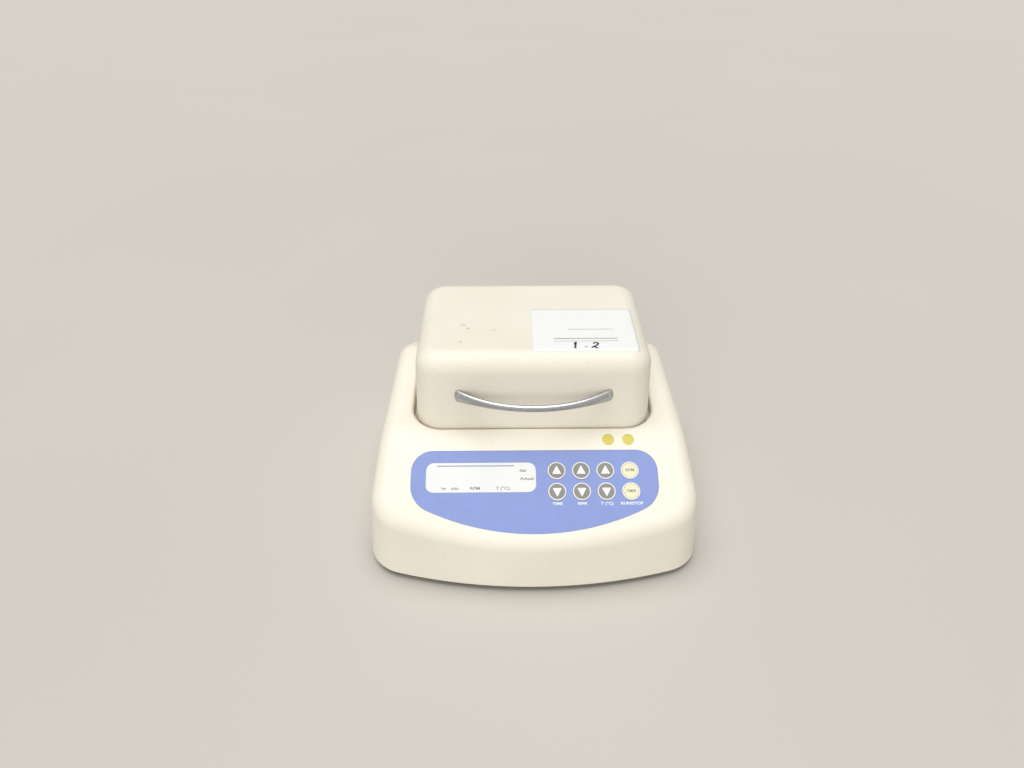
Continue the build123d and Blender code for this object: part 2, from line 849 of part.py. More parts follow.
def rotor_shaft():
    """Motor shaft with its rotor drum."""
    shaft = rod(0, drive_y, motor_z + 0.5, crank_top - 1.0, shaft_r)
    drum = rod(0, drive_y, motor_z + 5.0, motor_top - 5.0, rotor_r)
    return shaft + drum


def eccentric_crank():
    """Hub on the motor shaft with a pin set off its axis by the orbit."""
    hub = rod(0, drive_y, crank_z, crank_top, crank_r)
    shoulder = rod(0, block_y, crank_top, bearing_z, crank_pin_r + 1.5)
    pin = rod(0, block_y, bearing_z, bearing_top + 0.7, crank_pin_r)
    pin = chamfer(pin.edges().group_by(Axis.Z)[-1], 0.5)
    crank = hub + shoulder + pin
    crank -= rod(0, drive_y, crank_z - 1, crank_top - 0.8, shaft_r + run_gap)
    return crank - set_screw_hole()


def set_screw_hole():
    """Cross hole through the hub's wall and the counterweight's collar."""
    return Pos(weight_r / 2 + 1, drive_y, set_screw_z) * Rot(0, 90, 0) * Cylinder(screw_r + run_gap, weight_r)


def crank_set_screw():
    """Headless screw that clamps the hub to the shaft."""
    first, last = shaft_r + run_gap, crank_r - 0.5
    body = Pos((first + last) / 2, drive_y, set_screw_z) * Rot(0, 90, 0) * Cylinder(screw_r, last - first)
    socket = extrude(RegularPolygon(screw_r * 0.6, 6), 1.2, both=True)
    return body - Pos(last, drive_y, set_screw_z) * Rot(0, 90, 0) * socket


def counterweight():
    """Sector that balances the orbiting block, clamped round the hub."""
    collar = tube(0, drive_y, weight_z, weight_z + weight_t, crank_r + 3.5, crank_r + run_gap)
    sector = tube(0, drive_y, weight_z, weight_z + weight_t, weight_r, crank_r + run_gap)
    sector &= span(-weight_r, weight_r, drive_y - weight_r, drive_y - 3, weight_z, weight_z + weight_t)
    return collar + sector - set_screw_hole()


def bearing_inner_ring():
    return tube(0, block_y, bearing_z, bearing_top, crank_pin_r + bearing_ring_t, crank_pin_r + run_gap)


def bearing_outer_ring():
    bore = crank_pin_r + bearing_ring_t + 0.1
    return tube(0, block_y, bearing_z, bearing_top, bearing_r, bore)


def elastic_post(x, y):
    """Elastic column beside the drive that steadies the orbiting carrier."""
    column = rod(x, y, motor_z, carrier_z - fit_gap, elastic_post_r)
    column = column - Pos(x, y, (motor_z + carrier_z) / 2) * tube(
        0, 0, -8, 8, elastic_post_r + 1, elastic_post_r - 1.4)
    return column + rod(x, y, chassis_z - 1.0, motor_z, elastic_post_r * 0.5)


# ================================================================ orbiting platform
def carrier_plate():
    """Cast plate that rides on the eccentric bearing."""
    width, depth = block_width + 2 * carrier_side, block_depth + 2 * carrier_side
    plate = slab(0, block_y, width, depth, block_corner_r, carrier_z, pad_z)
    cup_r = bearing_r + bearing_cup_t
    plate += rod(0, block_y, bearing_z + 0.4, carrier_z, cup_r)
    for angle in (0, 90):
        rib = Pos(0, block_y, (bearing_z + 2 + carrier_z) / 2) * Rot(0, 0, angle) * Box(
            (cup_r + 14) * 2, 3.0, carrier_z - bearing_z - 2)
        plate += rib
    plate -= rod(0, block_y, bearing_z - 3, bearing_top, bearing_r + run_gap)
    plate -= rod(0, block_y, bearing_top - 1, bearing_top + 1.8, bearing_r - 2.5)
    for x, y in block_screws:
        plate -= rod(x, y, carrier_z - 1, pad_z + 1, screw_r + run_gap)
    return plate


def drilled_layer(width, depth, low, high):
    """Flat layer of the platform with its four screw holes."""
    layer = slab(0, block_y, width, depth, block_corner_r, low, high)
    for x, y in block_screws:
        layer -= rod(x, y, low - 1, high + 1, screw_r + run_gap)
    return layer


def heater_plate():
    """Aluminium plate under the block, bored for the temperature probe."""
    plate = drilled_layer(block_width, block_depth, plate_z, block_z)
    return plate - probe_rod(probe_r + run_gap)


def probe_rod(r):
    """Cylinder along the temperature probe, in from the front edge."""
    front = block_y - block_depth / 2
    middle = front + probe_length / 2
    return Pos(probe_x, middle, (plate_z + block_z) / 2) * Rot(90, 0, 0) * Cylinder(r, probe_length)


def well_block():
    """Block with a raised field of square pits that take the bottoms of a deep-well plate."""
    block = slab(0, block_y, block_width, block_depth, block_corner_r, block_z, seat_z)
    field = slab(0, block_y, block_raised_width, block_raised_depth, block_corner_r, seat_z,
                 seat_z + block_raised_t)
    block += chamfer(field.edges().group_by(Axis.Z)[-1], 0.8)
    pits = []
    for i in range(pit_columns):
        for j in range(pit_rows):
            x = (i - (pit_columns - 1) / 2) * pit_pitch
            y = block_y + (j - (pit_rows - 1) / 2) * pit_pitch
            pits.append(Pos(x, y, seat_z + block_raised_t - pit_depth / 2 + 0.5) * Box(
                pit_width, pit_width, pit_depth + 1))
    block -= pits
    for x, y in block_screws:
        block -= rod(x, y, block_z - 1, seat_z + 1, screw_r + run_gap)
        block -= rod(x, y, seat_z - screw_head_h - 0.4, seat_z + 1, screw_head_r + fit_gap)
    return block


def block_screw(x, y):
    top = seat_z - screw_head_h - 0.4
    return Pos(x, y, top) * screw(top - carrier_z - 0.5)


# ================================================================ lid well
def chamber_frame():
    """Black collar round the opening over the block."""
    outer_w, outer_d = opening_width + 2 * frame_t, opening_depth + 2 * frame_t
    sleeve = slab(0, drive_y, outer_w, outer_d, block_corner_r + frame_t, well_floor_z - frame_depth,
                  well_floor_z + frame_flange_t)
    flange = slab(0, drive_y, opening_width + 2 * frame_flange, opening_depth + 2 * frame_flange,
                  block_corner_r + frame_flange, well_floor_z, well_floor_z + frame_flange_t)
    collar = sleeve + flange
    return collar - slab(0, drive_y, opening_width, opening_depth, block_corner_r,
                         well_floor_z - frame_depth - 1, well_floor_z + 2)


def lid_seal():
    """Soft ring on the well floor that the closed lid rests on."""
    inner = frame_flange + fit_gap
    outer = inner + seal_width
    ring = slab(0, drive_y, opening_width + 2 * outer, opening_depth + 2 * outer, block_corner_r + outer,
                well_floor_z, liner_z - fit_gap)
    return ring - slab(0, drive_y, opening_width + 2 * inner, opening_depth + 2 * inner,
                       block_corner_r + inner, well_floor_z - 1, liner_z + 1)


# ================================================================ hinges
def hinge_bracket(hx):
    """Bracket on the bay floor with two ears for the pin."""
    inner = knuckle_w / 2 + fit_gap
    outer = inner + ear_t
    reach = outer + bracket_foot
    back = hinge_y + bracket_depth / 2 - 1.0
    bracket = span(hx - reach, hx + reach, back - bracket_depth, back, bay_z, bay_z + bracket_t)
    for side in (-1, 1):
        x0 = hx + side * inner if side > 0 else hx - outer
        ear = span(x0, x0 + ear_t, hinge_y - knuckle_r, hinge_y + knuckle_r, bay_z, hinge_z)
        ear += Pos(x0 + ear_t / 2, hinge_y, hinge_z) * Rot(0, 90, 0) * Cylinder(knuckle_r, ear_t)
        bracket += ear
        bracket -= rod(hx + side * (outer + bracket_foot / 2), hinge_y - 1.0, bay_z - 1, bay_z + bracket_t + 1,
                       screw_r + run_gap)
    return bracket - Pos(hx, hinge_y, hinge_z) * Rot(0, 90, 0) * Cylinder(pin_r + run_gap / 2, 2 * outer + 2)


def hinge_pin(hx):
    """Pin through both ears, with a head on its outer end."""
    outer = knuckle_w / 2 + fit_gap + ear_t
    pin = Pos(hx, hinge_y, hinge_z) * Rot(0, 90, 0) * Cylinder(pin_r, 2 * outer + 1.0)
    side = 1 if hx > 0 else -1
    head = Pos(hx + side * (outer + 0.6), hinge_y, hinge_z) * Rot(0, 90, 0) * Cylinder(pin_r + 1.2, 1.2)
    return pin + head


def hinge_arm(hx):
    """Arm on the back of the lid that turns on the pin."""
    low = lid_z + leaf_rise
    profile = make_face(Polyline(
        (leaf_y, low + leaf_h), (leaf_y + leaf_t, low + leaf_h), (leaf_y + leaf_t, hinge_z + 6.5),
        (hinge_y + 1.5, hinge_z + knuckle_r - 0.5), (hinge_y, hinge_z), (hinge_y - 3.5, hinge_z - 3.5),
        (leaf_y, low), close=True))
    arm = Pos(hx - knuckle_w / 2, 0, 0) * extrude(Plane.YZ * profile, knuckle_w)
    arm += Pos(hx, hinge_y, hinge_z) * Rot(0, 90, 0) * Cylinder(knuckle_r, knuckle_w)
    arm -= Pos(hx, hinge_y, hinge_z) * Rot(0, 90, 0) * Cylinder(pin_r + run_gap, knuckle_w + 2)
    return arm - Pos(hx, leaf_y, arm_screw_z) * Rot(90, 0, 0) * Cylinder(screw_r + run_gap, 20)


def arm_screw(hx):
    """Screw through the arm's leaf into the lid's pad."""
    return Pos(hx, leaf_y + leaf_t, arm_screw_z) * Rot(-90, 0, 0) * screw(leaf_t + arm_screw_grip)


# ================================================================ lid
def lid_shell():
    """Moulded lid: drafted walls, soft top edges, corner bosses and pads for the hinge arms."""
    outer, hollow = lid_form(), lid_form(lid_wall)
    shell = outer - hollow
    for x, y in liner_screws:
        shell += rod(x, y, liner_z + liner_flange_t, lid_top_z, boss_r) & hollow
    for hx in (-hinge_x, hinge_x):
        half = knuckle_w / 2 + 2
        low = liner_z + liner_flange_t + fit_gap
        high = lid_z + leaf_rise + leaf_h + 2
        shell += span(hx - half, hx + half, lid_back_y - 7.5, leaf_y, low, high)
    for x, y in liner_screws:
        shell -= rod(x, y, liner_z, liner_z + liner_flange_t + 10, screw_r + run_gap)
    for hx in (-hinge_x, hinge_x):
        shell -= Pos(hx, leaf_y, arm_screw_z) * Rot(90, 0, 0) * Cylinder(screw_r + run_gap,
                                                                         2 * arm_screw_grip + 1)
    for x in handle_screws:
        shell -= LID_FRONT.location * Pos(x, 0, 0) * Cylinder(screw_r + run_gap, 4 * lid_wall)
    return shell


def lid_liner():
    """Inner lining of the lid: a flange at the rim and walls up to the heated plate."""
    walls = slab(0, drive_y, liner_width, liner_depth, liner_corner_r, liner_z, liner_top_z)
    inset = lid_wall + fit_gap + (liner_z + liner_flange_t - lid_z) * lid_tan
    flange = slab(0, lid_mid_y, lid_width - 2 * inset, lid_depth - 2 * inset, lid_corner_r - inset,
                  liner_z, liner_z + liner_flange_t)
    liner = walls + flange
    liner -= slab(0, drive_y, liner_width - 2 * liner_wall, liner_depth - 2 * liner_wall,
                  liner_corner_r - liner_wall, liner_z - 1, liner_top_z + 1)
    for x, y in liner_screws:
        liner -= rod(x, y, liner_z - 1, liner_z + liner_flange_t + 1, screw_r + run_gap)
    return liner


def liner_screw(x, y):
    return Pos(x, y, liner_z) * Rot(180, 0, 0) * screw(liner_flange_t + liner_screw_grip, head_h=0.9)


def handle():
    """Bowed metal grip, slim in the middle and flared at the ends, seated on the lid's front."""
    bow = ThreePointArc((-handle_span / 2, handle_face_y + 4.0, handle_z),
                        (0, handle_face_y - handle_reach, handle_z),
                        (handle_span / 2, handle_face_y + 4.0, handle_z))
    sections = []
    for t in (0.0, 0.18, 0.5, 0.82, 1.0):
        end = abs(2 * t - 1) ** 2.4
        width = handle_mid_r + (handle_end_w / 2 - handle_mid_r) * end
        height = handle_mid_r + (handle_end_h / 2 - handle_mid_r) * end
        place = Plane(origin=bow @ t, x_dir=(0, 0, 1), z_dir=bow % t)
        sections.append(place * Ellipse(height, width))
    grip = sweep(sections, path=bow, multisection=True)
    grip -= lid_form()
    for x in handle_screws:
        grip -= LID_FRONT.location * Pos(x, 0, -lid_wall - 2.5) * Cylinder(screw_r + run_gap, 5)
    return grip


def handle_screw(x):
    return LID_FRONT.location * Pos(x, 0, 0) * screw(lid_wall + handle_screw_grip)


# ================================================================ power inlet and switch
def pocket_spot(offset):
    """Place on the pocket's floor, with +Z pointing out of the back."""
    return Pos(pocket_x + offset, rear_y - pocket_depth, pocket_z) * Rot(-90, 0, 0)


def dc_socket():
    """Barrel inlet: front flange, threaded barrel through the wall, centre pin and body."""
    body = Pos(0, 0, 0.75) * Cylinder(barrel_r + 1.8, 1.5)
    body = fillet(body.edges().group_by(Axis.Z)[-1], 0.5)
    body += Pos(0, 0, -barrel_length / 2) * Cylinder(barrel_r, barrel_length)
    body -= Pos(0, 0, 1.5 - 5) * Cylinder(barrel_bore_r, 10)
    body += Pos(0, 0, -4.5) * Cylinder(barrel_pin_r, 9)
    return pocket_spot(inlet_offset) * body


def dc_socket_nut():
    nut = Pos(0, 0, -case_wall - nut_t) * (extrude(RegularPolygon(nut_r, 6), nut_t)
                                            - Cylinder(barrel_r + run_gap, pocket_bore))
    return pocket_spot(inlet_offset) * nut


def switch_housing():
    """Frame of the power switch, clipped into the wall."""
    body = Pos(0, 0, -switch_body_depth / 2) * Box(switch_width, switch_height, switch_body_depth)
    bezel = Pos(0, 0, 0) * extrude(RectangleRounded(switch_width + 2 * switch_bezel,
                                                    switch_height + 2 * switch_bezel, 1.5), switch_bezel_t)
    body += bezel
    gap_half = math.hypot(rocker_half, rocker_depth / 2) + fit_gap
    body -= Pos(0, 0, -rocker_sink) * Box(rocker_width + 2 * fit_gap, 2 * gap_half, 2 * rocker_depth)
    body -= Pos(0, 0, -rocker_sink) * Rot(0, 90, 0) * Cylinder(trunnion_r + run_gap, rocker_width + 1.6)
    return pocket_spot(switch_offset) * body


def power_rocker():
    """Rocker of the power switch, at rest with its lower half pressed in."""
    half = rocker_half
    profile = make_face(Polyline((-half, 3.4), (0, 1.9), (half, 3.4), (half, 0.6), (3.0, -2.8), (-3.0, -2.8),
                                 (-half, 0.6), close=True))
    rocker = extrude(Plane.YZ * profile, rocker_width / 2, both=True)
    rocker += Rot(0, 90, 0) * Cylinder(trunnion_r, rocker_width + 1.4)
    return pocket_spot(switch_offset) * Pos(0, 0, -rocker_sink) * Rot(rocker_throw / 2, 0, 0) * rocker


# ================================================================ the assembly
save("case_shell", case_shell())
save("base_plate", base_plate())
save("rubber_feet", *[rubber_foot(x, y) for x, y in foot_places])
save("base_screws", *[foot_screw(x, y) for x, y in foot_places],
     *[case_screw(x, y) for x, y in case_screw_places])

save("front_panel_overlay", front_panel_overlay())
save("lcd_window", lcd_window())
save("lcd_bezel", lcd_bezel())
save("lcd_glass", lcd_glass())
for name, x, v in key_places():
    save(name, key_cap(x, v))
save("key_switches", *key_switches())
save("control_board", control_board())

save("main_board", main_board())
save("main_board_parts", *main_board_parts())
save("small_screws", *[board_screw(x, v) for x, v in board_posts],
     *[main_board_screw(x, y) for x, y in main_board_posts], *[motor_screw(x, y) for x, y in motor_screws])

save("chassis", chassis())
save("chassis_posts", *[chassis_post(x, y) for x, y in chassis_posts])
save("chassis_screws", *[chassis_screw(x, y) for x, y in chassis_posts])
save("motor_housing", motor_housing())
save("motor_bearings", motor_bearing(motor_z), motor_bearing(motor_top - motor_wall))
save("motor_stator", motor_stator())
save("rotor_shaft", rotor_shaft())
save("eccentric_crank", eccentric_crank())
save("crank_set_screw", crank_set_screw())
save("counterweight", counterweight())
save("bearing_inner_ring", bearing_inner_ring())
save("bearing_outer_ring", bearing_outer_ring())
save("elastic_posts", *[elastic_post(x, y) for x, y in elastic_posts])

save("carrier_plate", carrier_plate())
save("insulation_pad", drilled_layer(block_width + 4, block_depth + 4, pad_z, foil_z))
save("heater_foil", drilled_layer(block_width - 2, block_depth - 2, foil_z, plate_z))
save("heater_plate", heater_plate())
save("temperature_probe", probe_rod(probe_r))
save("well_block", well_block())
save("block_screws", *[block_screw(x, y) for x, y in block_screws])

save("chamber_frame", chamber_frame())
save("lid_seal", lid_seal())
save("hinge_brackets", hinge_bracket(-hinge_x), hinge_bracket(hinge_x))
save("hinge_pins", hinge_pin(-hinge_x), hinge_pin(hinge_x))
save("bracket_screws",
     *[Pos(x, y, bay_z + bracket_t) * screw(bracket_t + bracket_screw_grip) for x, y in bracket_screws()])
save("hinge_arms", hinge_arm(-hinge_x), hinge_arm(hinge_x))

save("lid_shell", lid_shell())
save("lid_liner", lid_liner())
save("lid_screws", *[liner_screw(x, y) for x, y in liner_screws], *[handle_screw(x) for x in handle_screws],
     *[arm_screw(hx) for hx in (-hinge_x, hinge_x)])
save("lid_heater_plate",
     slab(0, drive_y, liner_width, liner_depth, liner_corner_r, liner_top_z, lid_plate_top))
save("lid_heater_foil",
     slab(0, drive_y, lid_pad_width, lid_pad_depth, 3.0, lid_plate_top, lid_foil_top))
save("lid_insulation",
     slab(0, drive_y, lid_pad_width, lid_pad_depth, 3.0, lid_foil_top, lid_top_z - lid_wall))
save("handle", handle())

save("dc_socket", dc_socket())
save("dc_socket_nut", dc_socket_nut())
save("switch_housing", switch_housing())
save("power_rocker", power_rocker())
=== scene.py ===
# %% [markdown]
# # A thermal mixer for one deep-well plate
# The instrument is an ivory moulded case with a sloped blue key panel, and a box-shaped lid with a bright
# bowed grip. The CAD model already holds every piece at its real size. This notebook dresses it: each cell
# says what one piece or finish is on the real object, how it could be made, and why this way was chosen.

# %% Load the CAD model as a fixed frame
import math
import bpy
import numpy as np
from mathutils import Matrix, Vector


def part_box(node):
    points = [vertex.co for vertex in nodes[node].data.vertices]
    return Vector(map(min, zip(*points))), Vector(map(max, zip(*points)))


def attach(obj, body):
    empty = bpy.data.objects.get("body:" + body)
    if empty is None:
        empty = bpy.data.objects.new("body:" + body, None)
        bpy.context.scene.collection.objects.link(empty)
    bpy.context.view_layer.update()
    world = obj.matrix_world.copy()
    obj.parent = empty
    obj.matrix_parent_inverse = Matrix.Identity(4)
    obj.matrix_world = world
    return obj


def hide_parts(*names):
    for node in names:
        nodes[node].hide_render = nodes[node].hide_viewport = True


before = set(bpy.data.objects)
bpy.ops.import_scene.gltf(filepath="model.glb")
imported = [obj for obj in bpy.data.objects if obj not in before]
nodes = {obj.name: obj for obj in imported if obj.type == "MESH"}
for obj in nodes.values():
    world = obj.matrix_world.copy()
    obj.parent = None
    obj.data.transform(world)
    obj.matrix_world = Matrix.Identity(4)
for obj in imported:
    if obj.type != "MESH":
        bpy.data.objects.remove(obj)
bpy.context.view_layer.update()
MM = 0.001
print("CAD nodes:", len(nodes))

# %% [markdown]
# ## Colour and nodes
# A paint chip's hex value is sRGB, but a shader wants linear light, so one function turns one into the
# other. Nodes could be placed by hand in the editor, or by a function for each kind. One function that adds
# any node with its settings, values, hex colours and links keeps every material below short enough to read
# as a recipe.

# %% Two helpers for every material
def srgb(hex_value):
    """Linear RGBA of an sRGB hex value: ((c + 0.055) / 1.055) ^ 2.4, or c / 12.92 where c is dark."""
    c = np.array([int(hex_value[i:i + 2], 16) for i in (1, 3, 5)]) / 255
    return (*np.where(c <= 0.04045, c / 12.92, ((c + 0.055) / 1.055) ** 2.4), 1.0)


def add(tree, kind, inputs=None, **settings):
    """Adds a node. An input takes a value, a hex colour, or another node's output, which is then linked."""
    node = tree.nodes.new("ShaderNode" + kind)
    for name, value in settings.items():
        setattr(node, name, value)
    for name, value in (inputs or {}).items():
        if isinstance(value, bpy.types.NodeSocket):
            tree.links.new(value, node.inputs[name])
        else:
            node.inputs[name].default_value = srgb(value) if isinstance(value, str) else value
    return node


print("half-way grey in linear light:", round(float(srgb("#808080")[0]), 3))

# %% [markdown]
# ## Patterns with a real size
# Every piece lies in its real place, so its Object coordinates are metres in the whole instrument. A grain
# of 1 mm is then a noise of scale 1000, whatever the piece. A picture could hold a pattern too, but noise
# has no seams and stays sharp from near. Nearly every finish needs the same two things: two tones in soft
# clouds, and a grain that tilts the light.

# %% Start and end of a material, clouds and grain
def per_mm(size):
    """Pattern scale for a feature of this size in millimetres, on coordinates in metres."""
    return 1 / (size * MM)


def start(name):
    """New empty material; returns it, its node tree and the Object coordinates that its patterns read."""
    material = bpy.data.materials.new(name)
    material.use_nodes = True
    tree = material.node_tree
    tree.nodes.clear()
    return material, tree, add(tree, "TexCoord").outputs["Object"]


def surface(tree, inputs):
    """Ends a material: a Principled shader with these inputs, wired to the output."""
    add(tree, "OutputMaterial", {"Surface": add(tree, "BsdfPrincipled", inputs).outputs[0]})


def clouds(tree, place, size_mm, first, second, detail=2.0, roughness=0.5, cut=(0.3, 0.7), most=1.0):
    """Two tones, each a hex colour or a node's output, in lumps about size_mm across.

    Noise runs from 0 to 1 about a mean of 0.5. As it rises from cut[0] to cut[1], the second tone's share
    rises from 0 to `most`.
    """
    lumps = add(tree, "TexNoise", {"Vector": place, "Scale": per_mm(size_mm), "Detail": detail,
                                   "Roughness": roughness})
    share = add(tree, "MapRange", {"Value": lumps.outputs["Fac"], "From Min": cut[0], "From Max": cut[1],
                                   "To Min": 0.0, "To Max": most})
    return add(tree, "Mix", {0: share.outputs["Result"], 6: first, 7: second}, data_type="RGBA").outputs[2]


def grain(tree, place, size_mm, depth_mm, detail=3.0, roughness=0.6):
    """Normal of a grained surface: noise lumps about size_mm across that stand depth_mm proud."""
    lumps = add(tree, "TexNoise", {"Vector": place, "Scale": per_mm(size_mm), "Detail": detail,
                                   "Roughness": roughness})
    return add(tree, "Bump", {"Height": lumps.outputs["Fac"], "Distance": depth_mm * MM,
                              "Strength": 1.0}).outputs[0]


print("a 1 mm grain has scale", round(per_mm(1)))

# %% [markdown]
# ## Camera
# The instrument is seen from a standing person's eye: 36 degrees down, a little left of the middle, with a
# wide lens. A Track To constraint could aim the camera, but two angles are as short and say the view
# outright. Blender's camera looks along its own -Z, so tipping it 90 - 36 degrees up from straight down
# gives that view, and 0.6 degrees of turn gives the slight skew.

# %% Camera
EYE = Vector((-20.1, -468.6, 438.0)) * MM
LOOK_DOWN, LOOK_RIGHT = 36.0, 0.6
SENSOR_MM, FRAME_WIDTH, FOCAL_PIXELS = 36.0, 1024, 770.0

scene = bpy.context.scene
camera_data = bpy.data.cameras.new("camera")
camera_data.sensor_width = SENSOR_MM
camera_data.lens = SENSOR_MM * FOCAL_PIXELS / FRAME_WIDTH
camera = bpy.data.objects.new("camera", camera_data)
camera.location = EYE
camera.rotation_euler = (math.radians(90 - LOOK_DOWN), 0, math.radians(-LOOK_RIGHT))
scene.collection.objects.link(camera)
scene.camera = camera
print("lens", round(camera_data.lens, 2), "mm")

# %% [markdown]
# ## Light
# A laboratory is lit by wide panels, so shadows are soft and every side is open. Area lamps could be hung
# over the bench, but a near lamp lights the floor in a pool. Two sun lamps with a wide disc stand for the
# panels: a sun lights the whole floor evenly, and that keeps the background pale. The stronger comes from
# overhead and leaves a shadow under the case's front edge. The other comes low from the front, as light
# does off a bright room, and metal doesn't mirror it, so no facet burns out. A dim even world fills what
# they can't reach. Seen directly or in a reflection the world is paler, for metal to mirror.

# %% Two suns and a pale room
FILL, GLOW_LOW, GLOW_HIGH, GLOW_RISE = 0.25, 0.72, 0.98, 0.8

scene.view_settings.view_transform = "Standard"


def sun(name, toward, disc_degrees, strength, mirrored=True):
    """Sun lamp that shines from `toward`; a wide disc softens the shadows, and metal may mirror it or not."""
    data = bpy.data.lights.new(name, "SUN")
    data.angle = math.radians(disc_degrees)
    data.energy = strength
    data.color = srgb("#FFFFFE")[:3]
    light = bpy.data.objects.new(name, data)
    light.rotation_euler = Vector(toward).to_track_quat("Z", "Y").to_euler()
    light.visible_glossy = mirrored
    scene.collection.objects.link(light)


sun("ceiling_light", (-0.06, 0.06, 1.0), 56, 2.3)
sun("front_light", (-0.20, -1.0, 0.30), 40, 1.38, mirrored=False)

world = bpy.data.worlds.new("pale_room")
scene.world = world
world.use_nodes = True
room = world.node_tree
room.nodes.clear()
upward = add(room, "SeparateXYZ", {0: add(room, "TexCoord").outputs["Object"]}).outputs["Z"]
glow = add(room, "MapRange", {"Value": upward, "From Min": 0.0, "From Max": GLOW_RISE,
                              "To Min": GLOW_LOW, "To Max": GLOW_HIGH}).outputs["Result"]
rays = add(room, "LightPath").outputs
seen = add(room, "Math", {0: rays["Is Camera Ray"], 1: rays["Is Glossy Ray"]})
seen = add(room, "Math", {0: seen.outputs[0], 1: rays["Is Transmission Ray"]}, use_clamp=True)
fill = add(room, "Background", {"Color": "#FBFAF8", "Strength": FILL})
pale = add(room, "Background", {"Color": "#F7F6F3", "Strength": glow})
shown = add(room, "MixShader", {0: seen.outputs[0], 1: fill.outputs[0], 2: pale.outputs[0]})
add(room, "OutputWorld", {"Surface": shown.outputs[0]})

# %% [markdown]
# ## Floor
# The instrument stands on a plain pale worktop. A curved backdrop would hide the horizon, but a very wide
# flat floor does too from above, and every view keeps the same ground. It is plastic laminate: warm grey,
# matt, with a tone that drifts so slowly that it reads as plain.

# %% Floor
FLOOR_HALF = 9.0
floor_mesh = bpy.data.meshes.new("floor")
floor_mesh.from_pydata([(-FLOOR_HALF, -FLOOR_HALF, 0), (FLOOR_HALF, -FLOOR_HALF, 0),
                        (FLOOR_HALF, FLOOR_HALF, 0), (-FLOOR_HALF, FLOOR_HALF, 0)], [], [(0, 1, 2, 3)])
floor = bpy.data.objects.new("floor", floor_mesh)
scene.collection.objects.link(floor)
laminate, tree, place = start("pale_laminate")
surface(tree, {"Base Color": clouds(tree, place, 400, "#C4C0B8", "#CAC6BE", cut=(0, 1)), "Roughness": 0.6})
floor_mesh.materials.append(laminate)
print("floor", 2 * FLOOR_HALF, "m wide")

# %% [markdown]
# ## Moulded ivory ABS
# The case and lid are injection-moulded ABS. The mould is spark-eroded, which leaves a fine even grain that
# scatters light, so highlights are broad and never mirror-like. Age warms the colour in faint clouds with
# tiny darker flecks, and use has rubbed a few ragged dark marks into the lid's top. A mark could be painted
# on a picture, but a distance to its middle, compared with noise, draws the same ragged spot at any size.
# The grain is about 0.4 mm on the real part; it is drawn at 0.8 mm because finer grain doesn't show.

# %% Ivory ABS
LID_LOW, LID_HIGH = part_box("lid_shell")
SCUFFS = ((-51, 16, 1.9), (-47, 11, 1.2), (-28, 9, 1.5), (-52, -7, 1.4))


def moulded_abs(name, pale, warm, marks=()):
    """Ivory ABS: faint clouds between two tones, flecks, grain, and rubbed marks (x, y, reach) in mm."""
    material, tree, place = start(name)
    colour = clouds(tree, place, 60, pale, warm, detail=3.0)
    colour = clouds(tree, place, 1.4, colour, "#B5A88E", cut=(0.45, 0.75), most=0.10)
    ragged = add(tree, "TexNoise", {"Vector": place, "Scale": per_mm(0.9), "Detail": 4.0,
                                    "Roughness": 0.75}).outputs["Fac"]
    worn = add(tree, "MapRange", {"Value": ragged, "From Min": 0.5, "From Max": 0.62}).outputs["Result"]
    for x, y, reach in marks:
        centre = (x * MM, y * MM, LID_HIGH.z)
        away = add(tree, "VectorMath", {0: place, 1: centre}, operation="DISTANCE").outputs["Value"]
        edge = add(tree, "Math", {0: ragged, 1: 2 * reach * MM}, operation="MULTIPLY").outputs[0]
        inside = add(tree, "Math", {0: away, 1: edge}, operation="LESS_THAN").outputs[0]
        patch = add(tree, "Math", {0: inside, 1: worn}, operation="MULTIPLY").outputs[0]
        colour = add(tree, "Mix", {0: patch, 6: colour, 7: "#5B544A"}, data_type="RGBA").outputs[2]
    handled = add(tree, "TexNoise", {"Vector": place, "Scale": per_mm(25), "Detail": 4.0}).outputs["Fac"]
    sheen = add(tree, "MapRange", {"Value": handled, "From Min": 0.3, "From Max": 0.7,
                                   "To Min": 0.36, "To Max": 0.5}).outputs["Result"]
    surface(tree, {"Base Color": colour, "Roughness": sheen, "IOR": 1.53,
                   "Normal": grain(tree, place, 0.8, 0.03)})
    return material


print("lid top at", round(LID_HIGH.z / MM, 1), "mm, with", len(SCUFFS), "rubbed marks")

# %% [markdown]
# ## Printed polyester and screen ink
# The blue panel is a polyester film, printed on its back and glued into a sunk face. Its front is finely
# textured so that finger marks don't show, which makes it satin. Colour comes from ink, so it is even, with
# only a trace of mottle. Arrows and words are screen-printed ink, whose cover is a little uneven. Both
# could be one picture over the panel, but separate inks keep every edge sharp and let each key carry its
# own print.

# %% Printed film and ink
def printed_film(name, ink, mottle):
    """Satin polyester film over ink: an even colour under a soft, broad highlight."""
    material, tree, place = start(name)
    colour = clouds(tree, place, 9, ink, mottle, detail=3.0)
    surface(tree, {"Base Color": colour, "Roughness": 0.38, "IOR": 1.57, "Specular IOR Level": 0.2,
                   "Normal": grain(tree, place, 0.5, 0.01, detail=2.0)})
    return material


def printed_ink(name, ink, rough=0.45):
    """Screen-printed ink: nearly flat colour, with a little uneven cover."""
    material, tree, place = start(name)
    cover = clouds(tree, place, 1.2, ink, "#C9C4BC", detail=3.0, cut=(0.45, 0.7), most=0.12)
    surface(tree, {"Base Color": cover, "Roughness": rough, "IOR": 1.5,
                   "Normal": grain(tree, place, 0.4, 0.005, detail=2.0, roughness=0.5)})
    return material


# %% [markdown]
# ## Display window
# The window is a hard-coated clear pane over a reflective display that is switched off, so the eye meets an
# even white with a soft shine. Real glass over a modelled display would show that too, but slowly and with
# noise, so the pane is given the display's white directly. The display cell itself stays under it.

